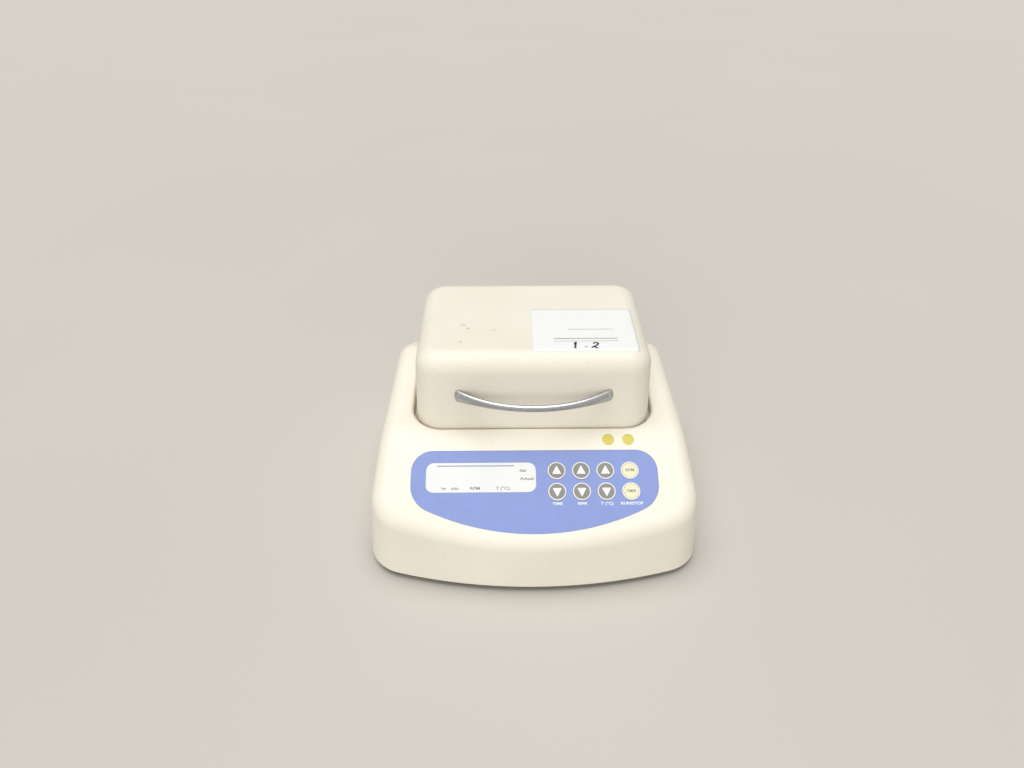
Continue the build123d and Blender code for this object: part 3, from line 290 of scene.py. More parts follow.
# %% Pane and display cell
def display_pane(name):
    """Hard-coated pane over a white display: even white, a shade greyer in wide patches."""
    material, tree, place = start(name)
    surface(tree, {"Base Color": clouds(tree, place, 30, "#E5E6E4", "#E0E2E1", detail=1.0), "Roughness": 0.22,
                   "IOR": 1.49, "Specular IOR Level": 0.2})
    return material


def display_glass(name):
    """Display cell: glass over a pale grey-green reflector."""
    material, tree, place = start(name)
    surface(tree, {"Base Color": clouds(tree, place, 12, "#C9D0BE", "#C2CAB6"), "Roughness": 0.08,
                   "IOR": 1.52})
    return material


# %% [markdown]
# ## Metals
# A metal has no colour of its own under its shine, so Metallic is 1 and the base colour is its reflection.
# Rolling, milling, casting and plating differ only in roughness and in the direction of their marks, so one
# function serves them all: a noise squeezed along X becomes drawn-out lines, and left alone it is an even
# grain. Real tool marks are a tenth of this width; they are drawn as coarse as they need to show.

# %% Metals
def metal(name, tint, shade, rough, mark_mm, relief_mm=0.01, lines=False):
    """Metal with a cloudy tint, and marks mark_mm wide that are drawn out along X or else an even grain."""
    material, tree, place = start(name)
    colour = clouds(tree, place, 20, tint, shade, detail=4.0)
    if lines:
        place = add(tree, "Mapping", {"Vector": place, "Scale": (0.02, 1.0, 1.0)}).outputs[0]
    marks = add(tree, "TexNoise", {"Vector": place, "Scale": per_mm(mark_mm), "Detail": 3.0,
                                   "Roughness": 0.6}).outputs["Fac"]
    dull = add(tree, "MapRange", {"Value": marks, "From Min": 0.3, "From Max": 0.7,
                                  "To Min": rough * 0.75, "To Max": rough * 1.3}).outputs["Result"]
    relief = add(tree, "Bump", {"Height": marks, "Distance": relief_mm * MM, "Strength": 1.0}).outputs[0]
    surface(tree, {"Base Color": colour, "Metallic": 1.0, "Roughness": dull, "Normal": relief})
    return material


# %% [markdown]
# ## Windings and heater foil
# Two hidden pieces are banded. The motor's teeth are wound with enamelled copper wire, and the heaters are
# amber polyimide foil over an etched track that runs to and fro. Wire and track could be modelled, turn by
# turn, for nobody to see; a wave pattern gives both at no cost. Blender's wave repeats every pi / 10 of its
# input.

# %% Banded finishes
def bands(tree, place, unit_mm, direction, distortion=0.0):
    """Bands unit_mm * pi / 10 apart along an axis, from 0 to 1: a sine of the scaled coordinate times 20."""
    return add(tree, "TexWave", {"Vector": place, "Scale": per_mm(unit_mm), "Distortion": distortion},
               bands_direction=direction).outputs["Fac"]


def copper_winding(name):
    """Enamelled wire wound round the stator's teeth: coarse rings across the motor's axis, 2.5 mm apart, with
    painted shade in the grooves between turns.
    """
    material, tree, place = start(name)
    rings = bands(tree, place, 8.0, "Z", distortion=0.6)
    relief = add(tree, "Bump", {"Height": rings, "Distance": 0.2 * MM, "Strength": 1.0}).outputs[0]
    # The colour darkens where the rings are low: painted shade in the grooves between the wire's turns.
    colour = add(tree, "Mix", {0: rings, 6: "#7A3B16", 7: "#C9743A"}, data_type="RGBA").outputs[2]
    surface(tree, {"Base Color": colour, "Metallic": 1.0, "Roughness": 0.35, "Normal": relief})
    return material


def foil_heater(name):
    """Amber polyimide foil, shiny, over a dark etched track that comes back about every 5 mm."""
    material, tree, place = start(name)
    track = add(tree, "MapRange", {"Value": bands(tree, place, 5 * math.pi, "Y"), "From Min": 0.45,
                                   "From Max": 0.55}).outputs["Result"]
    relief = add(tree, "Bump", {"Height": track, "Distance": 0.05 * MM, "Strength": 1.0}).outputs[0]
    colour = add(tree, "Mix", {0: track, 6: "#C77A1E", 7: "#7D3F12"}, data_type="RGBA").outputs[2]
    surface(tree, {"Base Color": colour, "Roughness": 0.28, "IOR": 1.7, "Normal": relief})
    return material


# %% [markdown]
# ## Rubber, silicone, nylon, felt and boards
# These show when the lid is up or the instrument is turned over, so each has its own finish: dusty black
# rubber, waxy silicone, dark nylon, hairy mineral felt, and green solder resist over copper tracks. Rubber
# and dark mouldings differ by colour and roughness alone, so each family has one function.

# %% Soft and dark finishes
def soft_rubber(name, dark, dusty, rough=0.8):
    """Moulded rubber or silicone: matt, with a little dust in its grain."""
    material, tree, place = start(name)
    surface(tree, {"Base Color": clouds(tree, place, 4, dark, dusty, detail=4.0, most=0.6),
                   "Roughness": rough, "IOR": 1.5, "Normal": grain(tree, place, 0.7, 0.04)})
    return material


def moulded_dark(name, dark, light, rough=0.5):
    """Glass-filled nylon or another dark moulding, with a fine eroded grain."""
    material, tree, place = start(name)
    surface(tree, {"Base Color": clouds(tree, place, 8, dark, light, detail=4.0), "Roughness": rough,
                   "IOR": 1.53, "Normal": grain(tree, place, 0.6, 0.02)})
    return material


def mineral_felt(name):
    """Pressed mineral fibre: pale, matt and hairy, with its hairs drawn out along Y."""
    material, tree, place = start(name)
    hair = add(tree, "Mapping", {"Vector": place, "Scale": (1.0, 0.15, 1.0)}).outputs[0]
    fibres = add(tree, "TexNoise", {"Vector": hair, "Scale": per_mm(0.5), "Detail": 6.0,
                                    "Roughness": 0.7}).outputs["Fac"]
    colour = add(tree, "Mix", {0: fibres, 6: "#B9B3A4", 7: "#F3EFE4"}, data_type="RGBA").outputs[2]
    relief = add(tree, "Bump", {"Height": fibres, "Distance": 0.3 * MM, "Strength": 1.0}).outputs[0]
    surface(tree, {"Base Color": colour, "Roughness": 0.95, "Normal": relief})
    return material


def circuit_board(name):
    """Green solder resist, shiny, over tracks in rows of 2.5 mm; a brick row is 0.25 of a pattern unit."""
    material, tree, place = start(name)
    tracks = add(tree, "TexBrick", {"Vector": place, "Color1": "#0E5A2C", "Color2": "#0B4A25",
                                    "Mortar": "#1E7A3E", "Scale": per_mm(2.5) * 0.25, "Mortar Size": 0.05})
    surface(tree, {"Base Color": tracks.outputs["Color"], "Roughness": 0.3, "IOR": 1.55,
                   "Normal": grain(tree, place, 0.6, 0.01, detail=2.0, roughness=0.5)})
    return material


# %% [markdown]
# ## Every CAD piece gets its finish
# The pieces keep their shape from the CAD model, and only their finish is set. Each could be dressed in its
# own cell, but one table shows at a glance what every piece is made of, and the last line tells if one was
# missed.

# %% Finishes of the CAD pieces
finishes = {
    # moulded shells: warm ivory with a broad soft sheen, and the lid rubbed on top
    moulded_abs("ivory_ABS_case", "#F2ECDE", "#EDE6D6"): ["case_shell"],
    moulded_abs("ivory_ABS_lid", "#F0EADB", "#EBE3D3", SCUFFS): ["lid_shell"],
    # printed film and pane: even colour under a satin front
    printed_film("blue_polyester_film", "#8798D1", "#8495CC"): ["front_panel_overlay"],
    display_pane("hard_coated_pane"): ["lcd_window"],
    display_glass("display_cell"): ["lcd_glass"],
    printed_film("grey_key_film", "#8B8885", "#86837F"): [f"key_{n}_{d}" for n in ("time", "speed", "temp")
                                                         for d in ("up", "down")],
    printed_film("cream_key_film", "#EAE5C3", "#E5DFBA"): ["key_run_speed", "key_run_temp"],
    # rolled sheet, plated: cool grey with faint rolling lines
    metal("zinc_plated_sheet", "#C9CBCD", "#AEB1B4", 0.36, 0.6, lines=True):
        ["base_plate", "chassis", "hinge_brackets", "hinge_arms", "lcd_bezel"],
    # plated screws: small and bright, slightly blue
    metal("bright_zinc_screw", "#CFD1D2", "#B9BCC2", 0.26, 0.3):
        ["base_screws", "small_screws", "chassis_screws", "bracket_screws", "lid_screws", "block_screws",
         "crank_set_screw", "dc_socket_nut"],
    # ground steel: nearly a mirror
    metal("ground_bearing_steel", "#C4C6C8", "#BFC1C4", 0.16, 0.2, relief_mm=0.002):
        ["motor_bearings", "rotor_shaft", "bearing_inner_ring", "bearing_outer_ring", "hinge_pins",
         "temperature_probe"],
    # milled bar: pale, with cutter lines
    metal("milled_aluminium", "#CCCED0", "#BEC0C3", 0.38, 0.4, lines=True):
        ["well_block", "heater_plate", "lid_heater_plate", "eccentric_crank"],
    # sand or die casting: duller and lumpier than bar
    metal("cast_aluminium", "#B4B6B9", "#9C9FA3", 0.5, 0.9, relief_mm=0.06):
        ["carrier_plate", "motor_housing"],
    # turned brass: warm and bright
    metal("turned_brass", "#C9A45A", "#B58E45", 0.24, 0.3): ["counterweight", "chassis_posts"],
    copper_winding("enamelled_copper_groove_shade"): ["motor_stator"],
    foil_heater("polyimide_heater"): ["heater_foil", "lid_heater_foil"],
    # rubber and silicone: matt, a little dusty
    soft_rubber("black_rubber", "#161616", "#3A3835"): ["rubber_feet"],
    soft_rubber("grey_silicone", "#8B8D8E", "#A5A6A4", 0.6): ["lid_seal", "elastic_posts"],
    # dark mouldings: satin, nearly black or dark grey
    moulded_dark("black_nylon", "#151515", "#222120"):
        ["chamber_frame", "dc_socket", "switch_housing", "power_rocker", "key_switches", "main_board_parts"],
    moulded_dark("dark_grey_liner", "#45464A", "#3D3E42", 0.45): ["lid_liner"],
    mineral_felt("mineral_felt"): ["insulation_pad", "lid_insulation"],
    circuit_board("solder_resist"): ["control_board", "main_board"],
}
for finish, names in finishes.items():
    for name in names:
        slots = nodes[name].data.materials
        slots.clear()
        slots.append(finish)
unfinished = sorted(set(nodes) - {name for names in finishes.values() for name in names})
print("finished", len(nodes) - len(unfinished), "nodes, left:", unfinished)

# %% [markdown]
# ## Surfaces from arrays
# A new piece could start from a primitive and modifiers, but a grid of points worked out with numpy keeps
# every size a number in a formula. `skin` joins each point to its neighbours, joins the grid's last row or
# column to its first when asked, and covers open ends with one face each. Whole arrays go into the mesh at
# once. A closed surface is turned inside out if its volume comes out negative.

# %% A mesh from a grid of points
def skin(name, grid, loops=(False, True), capped=True, smooth=True):
    """Mesh over a grid (rows, columns, 3) in metres.

    `loops` says whether rows and columns close on themselves. The volume is the sum of a . (b x c) / 6 over
    the triangles a, b, c, and is negative when faces look inwards.
    """
    rows, columns = grid.shape[:2]
    index = np.arange(rows * columns).reshape(rows, columns)
    ends = [index[0, ::-1].tolist(), index[-1].tolist()]
    if loops[0]:
        index = np.vstack([index, index[:1]])
    if loops[1]:
        index = np.hstack([index, index[:, :1]])
    quads = np.stack([index[:-1, :-1], index[:-1, 1:], index[1:, 1:], index[1:, :-1]], axis=-1).reshape(-1, 4)
    mesh = bpy.data.meshes.new(name)
    mesh.from_pydata(grid.reshape(-1, 3), [], quads.tolist() + (ends if capped else []))
    mesh.polygons.foreach_set("use_smooth", np.full(len(mesh.polygons), smooth))
    if capped or all(loops):
        points = grid.reshape(-1, 3) - grid.reshape(-1, 3).mean(0)
        a, b, c, d = points[quads].transpose(1, 0, 2)
        volume = (a * (np.cross(b, c) + np.cross(c, d))).sum() / 6
        if volume < 0:
            mesh.flip_normals()
    return mesh


def piece(name, mesh, finish, body):
    """Puts a mesh in the scene as a finished piece that rides on a body."""
    mesh.materials.append(finish)
    made = bpy.data.objects.new(name, mesh)
    scene.collection.objects.link(made)
    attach(made, body)
    return made


# %% [markdown]
# ## The panel's own axes
# The panel slopes 29 degrees. A print could be made flat and each object turned, but a finished piece keeps
# its place in its mesh. So everything printed is placed by its distance across, up the slope and out of the
# face, and one function carries such points to the instrument's frame.

# %% Panel coordinates
PANEL_FOOT = np.array([0.0, -109.0, 44.0]) * MM
PANEL_SLOPE = math.radians(29.0)
UP_SLOPE = np.array([0.0, math.cos(PANEL_SLOPE), math.sin(PANEL_SLOPE)])
OUT = np.array([0.0, -math.sin(PANEL_SLOPE), math.cos(PANEL_SLOPE)])
ACROSS = np.array([1.0, 0.0, 0.0])


def on_panel(across, up, out):
    """Points in metres from arrays of millimetres: foot + across X + up the slope + out along the normal."""
    parts = np.broadcast_arrays(across, up, out)
    return PANEL_FOOT + MM * sum(p[..., None] * axis for p, axis in zip(parts, (ACROSS, UP_SLOPE, OUT)))


print("panel slopes", round(math.degrees(PANEL_SLOPE)), "degrees")

# %% [markdown]
# ## Rings and arrows on the keys
# Each key is a grey disc with a white rim and a white arrow; the run keys are cream with a thin grey ring.
# A torus would lie on the disc like a wire. A small profile turned round the key's axis hugs the key's
# rounded edge instead, and catches light as the embossed film does. An arrow is a rounded triangle a few
# hundredths of a millimetre thick, so that it keeps a sharp edge and a top of its own.

# %% Rings and arrows
KEY_FIRST, KEY_PITCH = 15.6, 17.25
KEY_COLUMNS = KEY_FIRST + KEY_PITCH * np.arange(4)
KEY_ROWS = {"up": 50.6, "down": 35.3}
KEY_TOP = 0.5
ARROW_ROUNDING = 0.35
white_ink = printed_ink("white_screen_ink", "#ECEBE8")
grey_ink = printed_ink("grey_screen_ink", "#7D7A77")
# The pale grey-blue ink is painted shadow: the dark line that the display's frame casts under the window's
# top edge.
frame_shadow_ink = printed_ink("painted_frame_shadow", "#9AA1B5")


def turned_ring(name, across, up, profile, turns=72):
    """Ring about a key's axis: each profile point (radius, height) goes round a full circle."""
    radius, height = np.array(profile).T
    angle = np.linspace(0, 2 * np.pi, turns, endpoint=False)[:, None]
    grid = on_panel(across + radius * np.cos(angle), up + radius * np.sin(angle), height + 0 * angle)
    return skin(name, grid, loops=(True, True), capped=False)


def raised_shape(name, outline, low, high, chamfer=0.03):
    """Flat shape on the panel from an outline (n, 2) in mm: walls, a small chamfer and a top."""
    centre = outline.mean(0)
    inner = centre + (outline - centre) * (1 - chamfer / np.abs(outline - centre).max())
    rings = [(outline, low), (outline, high - chamfer * 0.5), (inner, high)]
    grid = np.stack([on_panel(o[:, 0], o[:, 1], np.full(len(o), z)) for o, z in rings])
    return skin(name, grid, smooth=False)


def rounded_polygon(corners, radius, steps=6):
    """Outline of a convex polygon with each corner replaced by an arc about a point inside it."""
    corners = np.array(corners, float)
    points = []
    for before, here, after in zip(np.roll(corners, 1, 0), corners, np.roll(corners, -1, 0)):
        a, b = before - here, after - here
        a, b = a / np.linalg.norm(a), b / np.linalg.norm(b)
        half = math.acos(np.clip(a @ b, -1, 1)) / 2
        middle = (a + b) / np.linalg.norm(a + b)
        hub = here + middle * radius / math.sin(half)
        start_at, end_at = here + a * radius / math.tan(half) - hub, here + b * radius / math.tan(half) - hub
        first = math.atan2(start_at[1], start_at[0])
        turn = (math.atan2(end_at[1], end_at[0]) - first + math.pi) % (2 * math.pi) - math.pi
        angles = first + turn * np.linspace(0, 1, steps)
        points.append(hub + radius * np.stack([np.cos(angles), np.sin(angles)], axis=1))
    return np.concatenate(points)


rim = [(5.55, KEY_TOP - 0.02), (5.58, KEY_TOP + 0.035), (5.85, KEY_TOP + 0.045), (6.12, KEY_TOP + 0.035),
       (6.27, KEY_TOP - 0.03), (6.36, KEY_TOP - 0.16), (6.39, KEY_TOP - 0.34), (6.39, -0.05), (6.3, -0.06),
       (6.2, 0.2)]
thin_ring = [(5.15, KEY_TOP - 0.02), (5.17, KEY_TOP + 0.025), (5.38, KEY_TOP + 0.025), (5.4, KEY_TOP - 0.02)]
arrow = np.array([(-3.25, -2.5), (3.25, -2.5), (0.0, 3.9)])
for column, name in enumerate(("time", "speed", "temp", "run")):
    for row, up in KEY_ROWS.items():
        body = f"key_{name}_{row}" if name != "run" else {"up": "key_run_speed", "down": "key_run_temp"}[row]
        across = KEY_COLUMNS[column]
        piece(body + "_rim", turned_ring(body + "_rim", across, up, rim), white_ink, body)
        if name == "run":
            mesh = turned_ring(body + "_ring", across, up, thin_ring)
            piece(body + "_ring", mesh, grey_ink, body)
        else:
            corners = (across, up) + arrow * (1, 1 if row == "up" else -1)
            outline = rounded_polygon(corners if row == "up" else corners[::-1], ARROW_ROUNDING)
            mesh = raised_shape(body + "_arrow", outline, KEY_TOP - 0.02, KEY_TOP + 0.04)
            piece(body + "_arrow", mesh, white_ink, body)
print("keys dressed:", len(KEY_COLUMNS) * len(KEY_ROWS))

# %% [markdown]
# ## Words on the panel
# Only plain function words are printed: TIME, RPM, T (°C), RUN/STOP and TIMER by the keys, and the heads of
# the display's rows and columns. Letters on a picture would blur from near, so Blender's text object sets
# the type, with its own curves for every letter. It is made a mesh, laid on the panel and given the ink's
# thickness, so every view and the export see real letters. The film lies 0.2 mm deep in the panel.

# %% Lettering
FILM_TOP, FILM_PRINT, KEY_PRINT = -0.2, 0.015, 0.012
CAPITAL_SHARE, TYPE_HALF_THICKNESS = 0.70, 0.012
KEY_WORDS = (("time", "TIME"), ("speed", "RPM"), ("temp", "T (°C)"), ("run", "RUN/STOP"))
KEY_WORDS_UP = 26.6
DISPLAY_WORDS = (("set", "Set", -8.3, 51.0), ("actual", "Actual", -5.4, 45.0),
                 ("clock", "hr   min", -59.3, 38.1), ("speed", "RPM", -41.9, 38.1),
                 ("temp", "T (°C)", -22.4, 38.1))
DISPLAY_SHADOW_ENDS, DISPLAY_SHADOW_EDGES = (-69.0, -14.5), (54.1, 55.1)
RUN_WORDS = (("key_run_speed", "RPM", "up", 1.25), ("key_run_temp", "TIMER", "down", 0.95))


def words(name, text, across, up, out, ink, body, height, bold, narrow):
    """Text with capitals `height` mm tall, centred at (across, up) and `out` mm along the normal.

    `bold` thickens every stroke by that many millimetres a side, and `narrow` scales its width.
    """
    curve = bpy.data.curves.new(name, "FONT")
    curve.body = text
    curve.align_x, curve.align_y = "CENTER", "CENTER"
    curve.size = height / CAPITAL_SHARE * MM
    curve.offset = bold * MM
    curve.extrude = TYPE_HALF_THICKNESS * MM
    curve.resolution_u = 3
    typed = bpy.data.objects.new(name + "_type", curve)
    scene.collection.objects.link(typed)
    bpy.context.view_layer.update()
    mesh = bpy.data.meshes.new_from_object(typed.evaluated_get(bpy.context.evaluated_depsgraph_get()))
    bpy.data.objects.remove(typed)
    mesh.name = name
    turn = Matrix(np.stack([ACROSS, UP_SLOPE, OUT], axis=1).tolist()).to_4x4()
    origin = on_panel(np.array(across), np.array(up), np.array(out))
    mesh.transform(Matrix.Translation(origin) @ turn @ Matrix.Diagonal((narrow, 1, 1, 1)))
    mesh.materials.clear()
    return piece(name, mesh, ink, body)


for across, (name, text) in zip(KEY_COLUMNS, KEY_WORDS):
    words("key_word_" + name, text, across, KEY_WORDS_UP, FILM_TOP + FILM_PRINT, white_ink, "base",
          height=2.0, bold=0.07, narrow=1.15)
for name, text, across, up in DISPLAY_WORDS:
    words("display_word_" + name, text, across, up, FILM_TOP + FILM_PRINT, grey_ink, "base",
          height=2.1, bold=0.07, narrow=1.25)
# A thin grey-blue strip along the window's top edge is painted shadow of the display's frame under the pane,
# not print.
across, up = np.meshgrid(np.array(DISPLAY_SHADOW_ENDS), np.array(DISPLAY_SHADOW_EDGES))
line = on_panel(across, up, np.full_like(across, FILM_TOP + 0.02))
piece("display_frame_shadow", skin("display_frame_shadow", line, loops=(False, False), capped=False), frame_shadow_ink, "base")
for body, text, row, narrow in RUN_WORDS:
    words(body + "_word", text, KEY_COLUMNS[3], KEY_ROWS[row], KEY_TOP + KEY_PRINT, grey_ink, body,
          height=1.9, bold=0.06, narrow=narrow)
print("words laid on:", len(KEY_WORDS) + len(DISPLAY_WORDS) + len(RUN_WORDS))

# %% [markdown]
# ## The lid's top as a formula
# A paper label and its pen marks must lie on the lid, which is flat in the middle and rounds down to its
# walls with a 14 mm edge. Shrinkwrap could drop them onto it, but a formula gives the same sheet in any
# program. The height at a point is the top less r - sqrt(r^2 - d^2), where d is how far the point is past
# the start of the rounding. Walls that lean by e degrees move that start to r tan((90 - e) / 2) from the
# edge, and the lid's corners, 20 mm at the foot, bend it round a smaller arc.

# %% Height of the lid's top
LID_EDGE, LID_FOOT_CORNER, LID_LEAN = 14.0 * MM, 20.0 * MM, 2.5
LID_SLANT = math.tan(math.radians(LID_LEAN))
LID_DRAFT_IN = (LID_HIGH.z - LID_LOW.z) * LID_SLANT
LID_CORNER = LID_FOOT_CORNER - LID_DRAFT_IN
LID_ROUNDING = LID_EDGE * math.tan(math.radians((90 - LID_LEAN) / 2))
LID_STEEPEST = 0.98


def lid_height(x, y):
    """Top of the lid in metres over arrays of points in metres; it stops falling near the walls."""
    hub_x = LID_HIGH.x - LID_DRAFT_IN - LID_CORNER
    hub_y = LID_LOW.y + LID_DRAFT_IN + LID_CORNER
    over = np.hypot(np.maximum(np.abs(x) - hub_x, 0), np.maximum(hub_y - y, 0)) - (LID_CORNER - LID_ROUNDING)
    over = np.clip(over, 0, LID_EDGE * LID_STEEPEST)
    return LID_HIGH.z - (LID_EDGE - np.sqrt(LID_EDGE ** 2 - over ** 2))


print("lid rounds down from", round(LID_ROUNDING / MM, 1), "mm inside its edge")

# %% [markdown]
# ## Paper label on the lid
# A stuck-on paper label, 76 by 57 mm, bare but for ruled lines and two pen figures. A flat card would float
# over the lid's soft edge. It is a grid that follows the lid's height instead, so its front and right edges
# bend down with the lid, and Solidify gives it a thickness. Paper is white and matt, with a touch of fibre.

# %% Label
LABEL_CENTRE, LABEL_SIZE, LABEL_CORNER = (36.9, 9.2), (76.0, 57.0), 1.5
LABEL_THICKNESS, LABEL_LIFT, RULE_LIFT, PEN_LIFT = 0.11, 0.13, 0.15, 0.16


def paper(name):
    """Coated label paper: white, a touch of fibre, semi-matt."""
    material, tree, place = start(name)
    fibre = clouds(tree, place, 1.5, "#F1F1F0", "#ECECEA", detail=5.0, roughness=0.7)
    surface(tree, {"Base Color": fibre, "Roughness": 0.55, "IOR": 1.5,
                   "Normal": grain(tree, place, 6.0, 0.03, roughness=0.5)})
    return material


def on_lid(across, back, lift):
    """Points in metres on the lid's top from millimetres across and back, lifted along Z."""
    x, y = np.asarray(across) * MM, np.asarray(back) * MM
    return np.stack([x, y, lid_height(x, y) + lift * MM], axis=-1)


def sheet_on_lid(name, centre, size, corner, lift, steps=(48, 36)):
    """Rounded rectangular sheet.

    A grid over the rectangle; in each corner square a point at (dx, dy) from the arc's middle is pulled in by
    max(dx, dy) / hypot(dx, dy), which turns squares about that middle into arcs.
    """
    u, v = np.meshgrid(np.linspace(-1, 1, steps[0]), np.linspace(-1, 1, steps[1]))
    x, y = u * size[0] / 2, v * size[1] / 2
    inside_x, inside_y = size[0] / 2 - corner, size[1] / 2 - corner
    dx, dy = np.maximum(np.abs(x) - inside_x, 0), np.maximum(np.abs(y) - inside_y, 0)
    pull = np.where((dx > 0) & (dy > 0), np.maximum(dx, dy) / np.maximum(np.hypot(dx, dy), 1e-9), 1.0)
    x = np.sign(x) * np.where(dx > 0, inside_x + dx * pull, np.abs(x))
    y = np.sign(y) * np.where(dy > 0, inside_y + dy * pull, np.abs(y))
    grid = on_lid(centre[0] + x, centre[1] + y, lift)
    return skin(name, grid, loops=(False, False), capped=False)


label = piece("paper_label", sheet_on_lid("paper_label", LABEL_CENTRE, LABEL_SIZE, LABEL_CORNER, LABEL_LIFT),
              paper("label_paper"), "lid")
label_back = label.modifiers.new("thickness", "SOLIDIFY")
label_back.thickness = LABEL_THICKNESS * MM
label_back.offset = -1
print("label", LABEL_SIZE, "mm")

# %% [markdown]
# ## Ruled lines and pen figures on the label
# Printed rules are straight ribbons, and a marker pen leaves ribbons too: as wide as its tip, black and
# flat. The figures 1 and 2 are written by hand, so type would look wrong. Each is a ribbon along a few
# points smoothed by a Catmull-Rom curve, whose weights for four neighbours are the usual cubic ones.

# %% Rules and figures
RULES = (("upper", 25.0, 8.8, 58.5, 0.45), ("middle", 14.6, -3.6, 60.5, 0.8),
         ("lower", 14.6, -7.0, 60.5, 0.45))
PEN_MARKS = (("pen_one", 1.5, ((28.9, -10.8), (29.8, -9.2), (30.1, -8.9), (29.5, -12.6), (29.2, -16.4))),
             ("pen_dot", 0.9, ((36.3, -14.6), (36.9, -14.3), (37.4, -13.7))),
             ("pen_two", 1.5, ((42.3, -10.4), (44.1, -9.0), (45.8, -10.0), (44.9, -12.2), (42.6, -14.2),
                               (41.2, -15.4), (42.6, -14.4), (44.2, -15.6), (45.4, -16.2))))
pen_ink = printed_ink("black_marker_ink", "#1A1A1C", 0.5)


def stroke(name, path, width, lift, ink):
    """Ribbon on the lid along a path (n, 2) in mm: its edges lie half the width to either side, square on."""
    along = np.gradient(path, axis=0)
    along /= np.linalg.norm(along, axis=1, keepdims=True)
    side = np.stack([-along[:, 1], along[:, 0]], axis=1) * width / 2
    grid = np.stack([on_lid(*(path + side).T, lift), on_lid(*(path - side).T, lift)], axis=1)
    return piece(name, skin(name, grid, loops=(False, False), capped=False), ink, "lid")


def smooth_path(points, per_span=10):
    """Catmull-Rom curve through points: 0.5 (2b + (c-a)t + (2a-5b+4c-d)t^2 + (3b-a-3c+d)t^3)."""
    p = np.array(points, float)
    p = np.concatenate([2 * p[:1] - p[1:2], p, 2 * p[-1:] - p[-2:-1]])
    t = np.linspace(0, 1, per_span, endpoint=False)[:, None]
    spans = []
    for a, b, c, d in zip(p[:-3], p[1:-2], p[2:-1], p[3:]):
        square, cube = 2 * a - 5 * b + 4 * c - d, 3 * b - a - 3 * c + d
        spans.append(0.5 * (2 * b + (c - a) * t + square * t ** 2 + cube * t ** 3))
    return np.concatenate(spans + [p[-2:-1]])


for name, x0, y0, x1, width in RULES:
    path = np.stack([np.linspace(x0, x1, 24), np.full(24, y0)], axis=1)
    stroke("label_rule_" + name, path, width, RULE_LIFT, grey_ink)
for name, width, points in PEN_MARKS:
    stroke(name, smooth_path(points), width, PEN_LIFT, pen_ink)
print("rules and pen marks:", len(RULES) + len(PEN_MARKS))

# %% [markdown]
# ## Two marker dots behind the panel
# Two plain yellow vinyl dots sit on the brow between panel and lid. A thin cylinder would cut into the brow
# or float over it. The brow is an arc of radius 55 mm between the panel's 29 degree slope and the
# shoulder's 7 degrees, so the dots are discs draped over that arc.

# %% Marker dots
BROW_RADIUS, BROW_Y, BROW_Z, SHOULDER_SLOPE = 55.0, -40.6, 81.9, math.radians(7.0)
DOT_COLUMNS, DOT_Y, DOT_RADIUS, DOT_THICKNESS = (53.6, 68.0), -44.0, 4.2, 0.12


def brow_height(y):
    """Height of the case's roof in mm over depths y in mm: slope, arc, then shoulder.

    The two slopes would meet at (BROW_Y, BROW_Z). The arc starts r tan((steep - gentle) / 2) before that
    corner and ends as far after it, and its height is the hub's plus sqrt(r^2 - (y - hub)^2).
    """
    tangent = BROW_RADIUS * math.tan((PANEL_SLOPE - SHOULDER_SLOPE) / 2)
    start_y = BROW_Y - tangent * math.cos(PANEL_SLOPE)
    start_z = BROW_Z - tangent * math.sin(PANEL_SLOPE)
    hub_y = start_y + BROW_RADIUS * math.sin(PANEL_SLOPE)
    hub_z = start_z - BROW_RADIUS * math.cos(PANEL_SLOPE)
    arc = hub_z + np.sqrt(np.maximum(BROW_RADIUS ** 2 - (y - hub_y) ** 2, 0))
    slope = start_z + (y - start_y) * math.tan(PANEL_SLOPE)
    shoulder = BROW_Z + (y - BROW_Y) * math.tan(SHOULDER_SLOPE)
    end_y = BROW_Y + tangent * math.cos(SHOULDER_SLOPE)
    return np.where(y < start_y, slope, np.where(y > end_y, shoulder, arc))


def draped_dot(name, x, ink):
    """Disc on the brow: rings (radius in mm, share of the thickness) are lifted off the brow's height.

    The first ring is sunk, the second and third make a turned-down edge, and the last is nearly a point.
    """
    rings = [(DOT_RADIUS, -1 / 6), (DOT_RADIUS, 0.8), (DOT_RADIUS * 0.985, 1.0), (DOT_RADIUS * 0.66, 1.0),
             (DOT_RADIUS * 0.33, 1.0), (0.02, 1.0)]
    radius, lift = np.array(rings).T[..., None]
    angle = np.linspace(0, 2 * np.pi, 64, endpoint=False)
    across, back = x + radius * np.cos(angle), DOT_Y + radius * np.sin(angle)
    grid = np.stack([across, back, brow_height(back) + DOT_THICKNESS * lift], axis=-1) * MM
    return piece(name, skin(name, grid), ink, "base")


dot_ink = printed_ink("yellow_vinyl", "#D0C246", 0.35)
for index, x in enumerate(DOT_COLUMNS):
    draped_dot(f"marker_dot_{index + 1}", x, dot_ink)
print("marker dots:", len(DOT_COLUMNS))

# %% [markdown]
# ## The bowed grip
# The grip is a polished steel bar bent to a shallow arc: round and slim where fingers hook it, flared to a
# tall oval where it meets the lid. A curve with a bevel can taper but can't change its section from round
# to oval. Carrying an oval along the arc, with half-axes that grow with a power of the distance from the
# middle, gives that in one formula. The ends close in a quarter-oval. Polishing along the bar leaves a soft
# mirror.

# %% Grip
GRIP_Z, GRIP_HALF_SPAN, GRIP_REACH = 112.0, 56.0, 18.5
GRIP_MIDDLE, GRIP_END_TALL, GRIP_END_DEEP, GRIP_SAG = 2.4, 5.4, 2.6, 2.2
GRIP_SUNK, GRIP_ROUNDED, GRIP_FLARE = 1.2, 3.2, 3.2


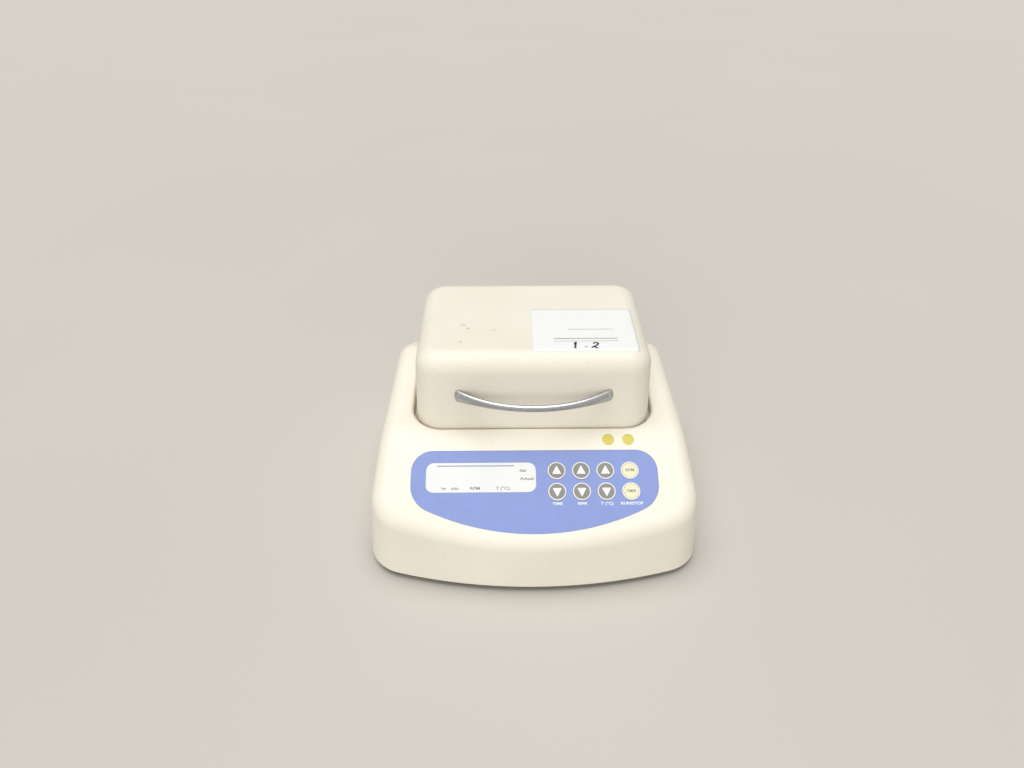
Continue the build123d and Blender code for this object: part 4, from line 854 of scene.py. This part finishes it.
def bowed_bar(name, stations=161, around=48):
    """Oval carried along an arc in a level plane.

    The arc of radius R = (s^2 + h^2) / 2h has half-span s and rise h. At a share t of the swing the tall
    half-axis is m + (e - m) t^3.2 and the deep one m + (e - m) t^2, and the bar drops by 2.2 t^2. Over the
    last 3.2 mm both half-axes shrink as sqrt(1 - (1 - c)^2), which rounds the ends.
    """
    face = LID_LOW.y / MM + (GRIP_Z - LID_LOW.z / MM) * LID_SLANT
    rise = GRIP_REACH + GRIP_SUNK
    radius = (GRIP_HALF_SPAN ** 2 + rise ** 2) / (2 * rise)
    swing = math.asin(GRIP_HALF_SPAN / radius)
    turn = swing * np.sin(np.linspace(-np.pi / 2, np.pi / 2, stations))
    away = np.abs(turn) / swing
    x, y = radius * np.sin(turn), face - GRIP_REACH + radius * (1 - np.cos(turn))
    cap = np.clip(radius * (swing - np.abs(turn)) / GRIP_ROUNDED, 0, 1)
    close = np.sqrt(1 - (1 - cap) ** 2)
    tall = (GRIP_MIDDLE + (GRIP_END_TALL - GRIP_MIDDLE) * away ** GRIP_FLARE) * close
    deep = (GRIP_MIDDLE + (GRIP_END_DEEP - GRIP_MIDDLE) * away ** 2) * close
    x, y, turn, away, tall, deep = (a[:, None] for a in (x, y, turn, away, tall, deep))
    angle = np.linspace(0, 2 * np.pi, around, endpoint=False)
    outward = deep * np.cos(angle)
    grid = np.stack([x + np.sin(turn) * outward, y - np.cos(turn) * outward,
                     GRIP_Z - GRIP_SAG * away ** 2 + tall * np.sin(angle)], axis=-1)
    return skin(name, grid[1:-1] * MM)


grip_steel = metal("satin_polished_steel", "#B6B7B8", "#A9AAAC", 0.29, 0.35, relief_mm=0.002, lines=True)
grip = piece("grip_bar", bowed_bar("grip_bar"), grip_steel, "lid")
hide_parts("handle")
print("grip:", 2 * GRIP_HALF_SPAN, "mm span")

# %% [markdown]
# ## Marks on the power rocker
# The switch at the back carries a printed line and ring on its two halves. The rocker's faces rise 1.5 mm
# over 8.2 mm from the middle and the rocker rests tipped by 10 degrees. Marks laid on in the finished place
# would need each height by trial, so they are laid on in the rocker's own axes and then turned with it.

# %% Rocker marks
ROCKER_X, ROCKER_Y, ROCKER_Z, ROCKER_SUNK = -33.0, 109.5, 34.0, 1.0
ROCKER_TIP, ROCKER_FACE, ROCKER_RISE, ROCKER_HALF = math.radians(10), 1.9, 1.5, 8.2
MARK_AT, MARK_LIFT, LINE_WIDTH, LINE_HALF, RING_OUTER, RING_INNER = 4.6, 0.03, 0.7, 1.7, 1.9, 1.25


def rocker_mark(name, across, down, loops):
    """Thin print on the rocker's face: lifted a little off it, tipped by 10 degrees, then set in the back."""
    out = ROCKER_FACE + ROCKER_RISE * np.abs(down) / ROCKER_HALF + MARK_LIFT
    back = down * math.sin(ROCKER_TIP) + out * math.cos(ROCKER_TIP) - ROCKER_SUNK
    low = down * math.cos(ROCKER_TIP) - out * math.sin(ROCKER_TIP)
    grid = np.stack([ROCKER_X + across, ROCKER_Y + back, ROCKER_Z - low], axis=-1) * MM
    mesh = skin(name, grid[:, ::-1], loops=(False, loops), capped=False)
    return piece(name, mesh, white_ink, "power_rocker")


side, length = np.meshgrid(np.array([-LINE_WIDTH, LINE_WIDTH]) / 2, np.linspace(-LINE_HALF, LINE_HALF, 8))
rocker_mark("rocker_line", side, length - MARK_AT, loops=False)
angle, radius = np.meshgrid(np.linspace(0, 2 * np.pi, 48, endpoint=False), np.array([RING_OUTER, RING_INNER]))
rocker_mark("rocker_ring", radius * np.cos(angle), radius * np.sin(angle) + MARK_AT, loops=True)
print("rocker marks laid on")
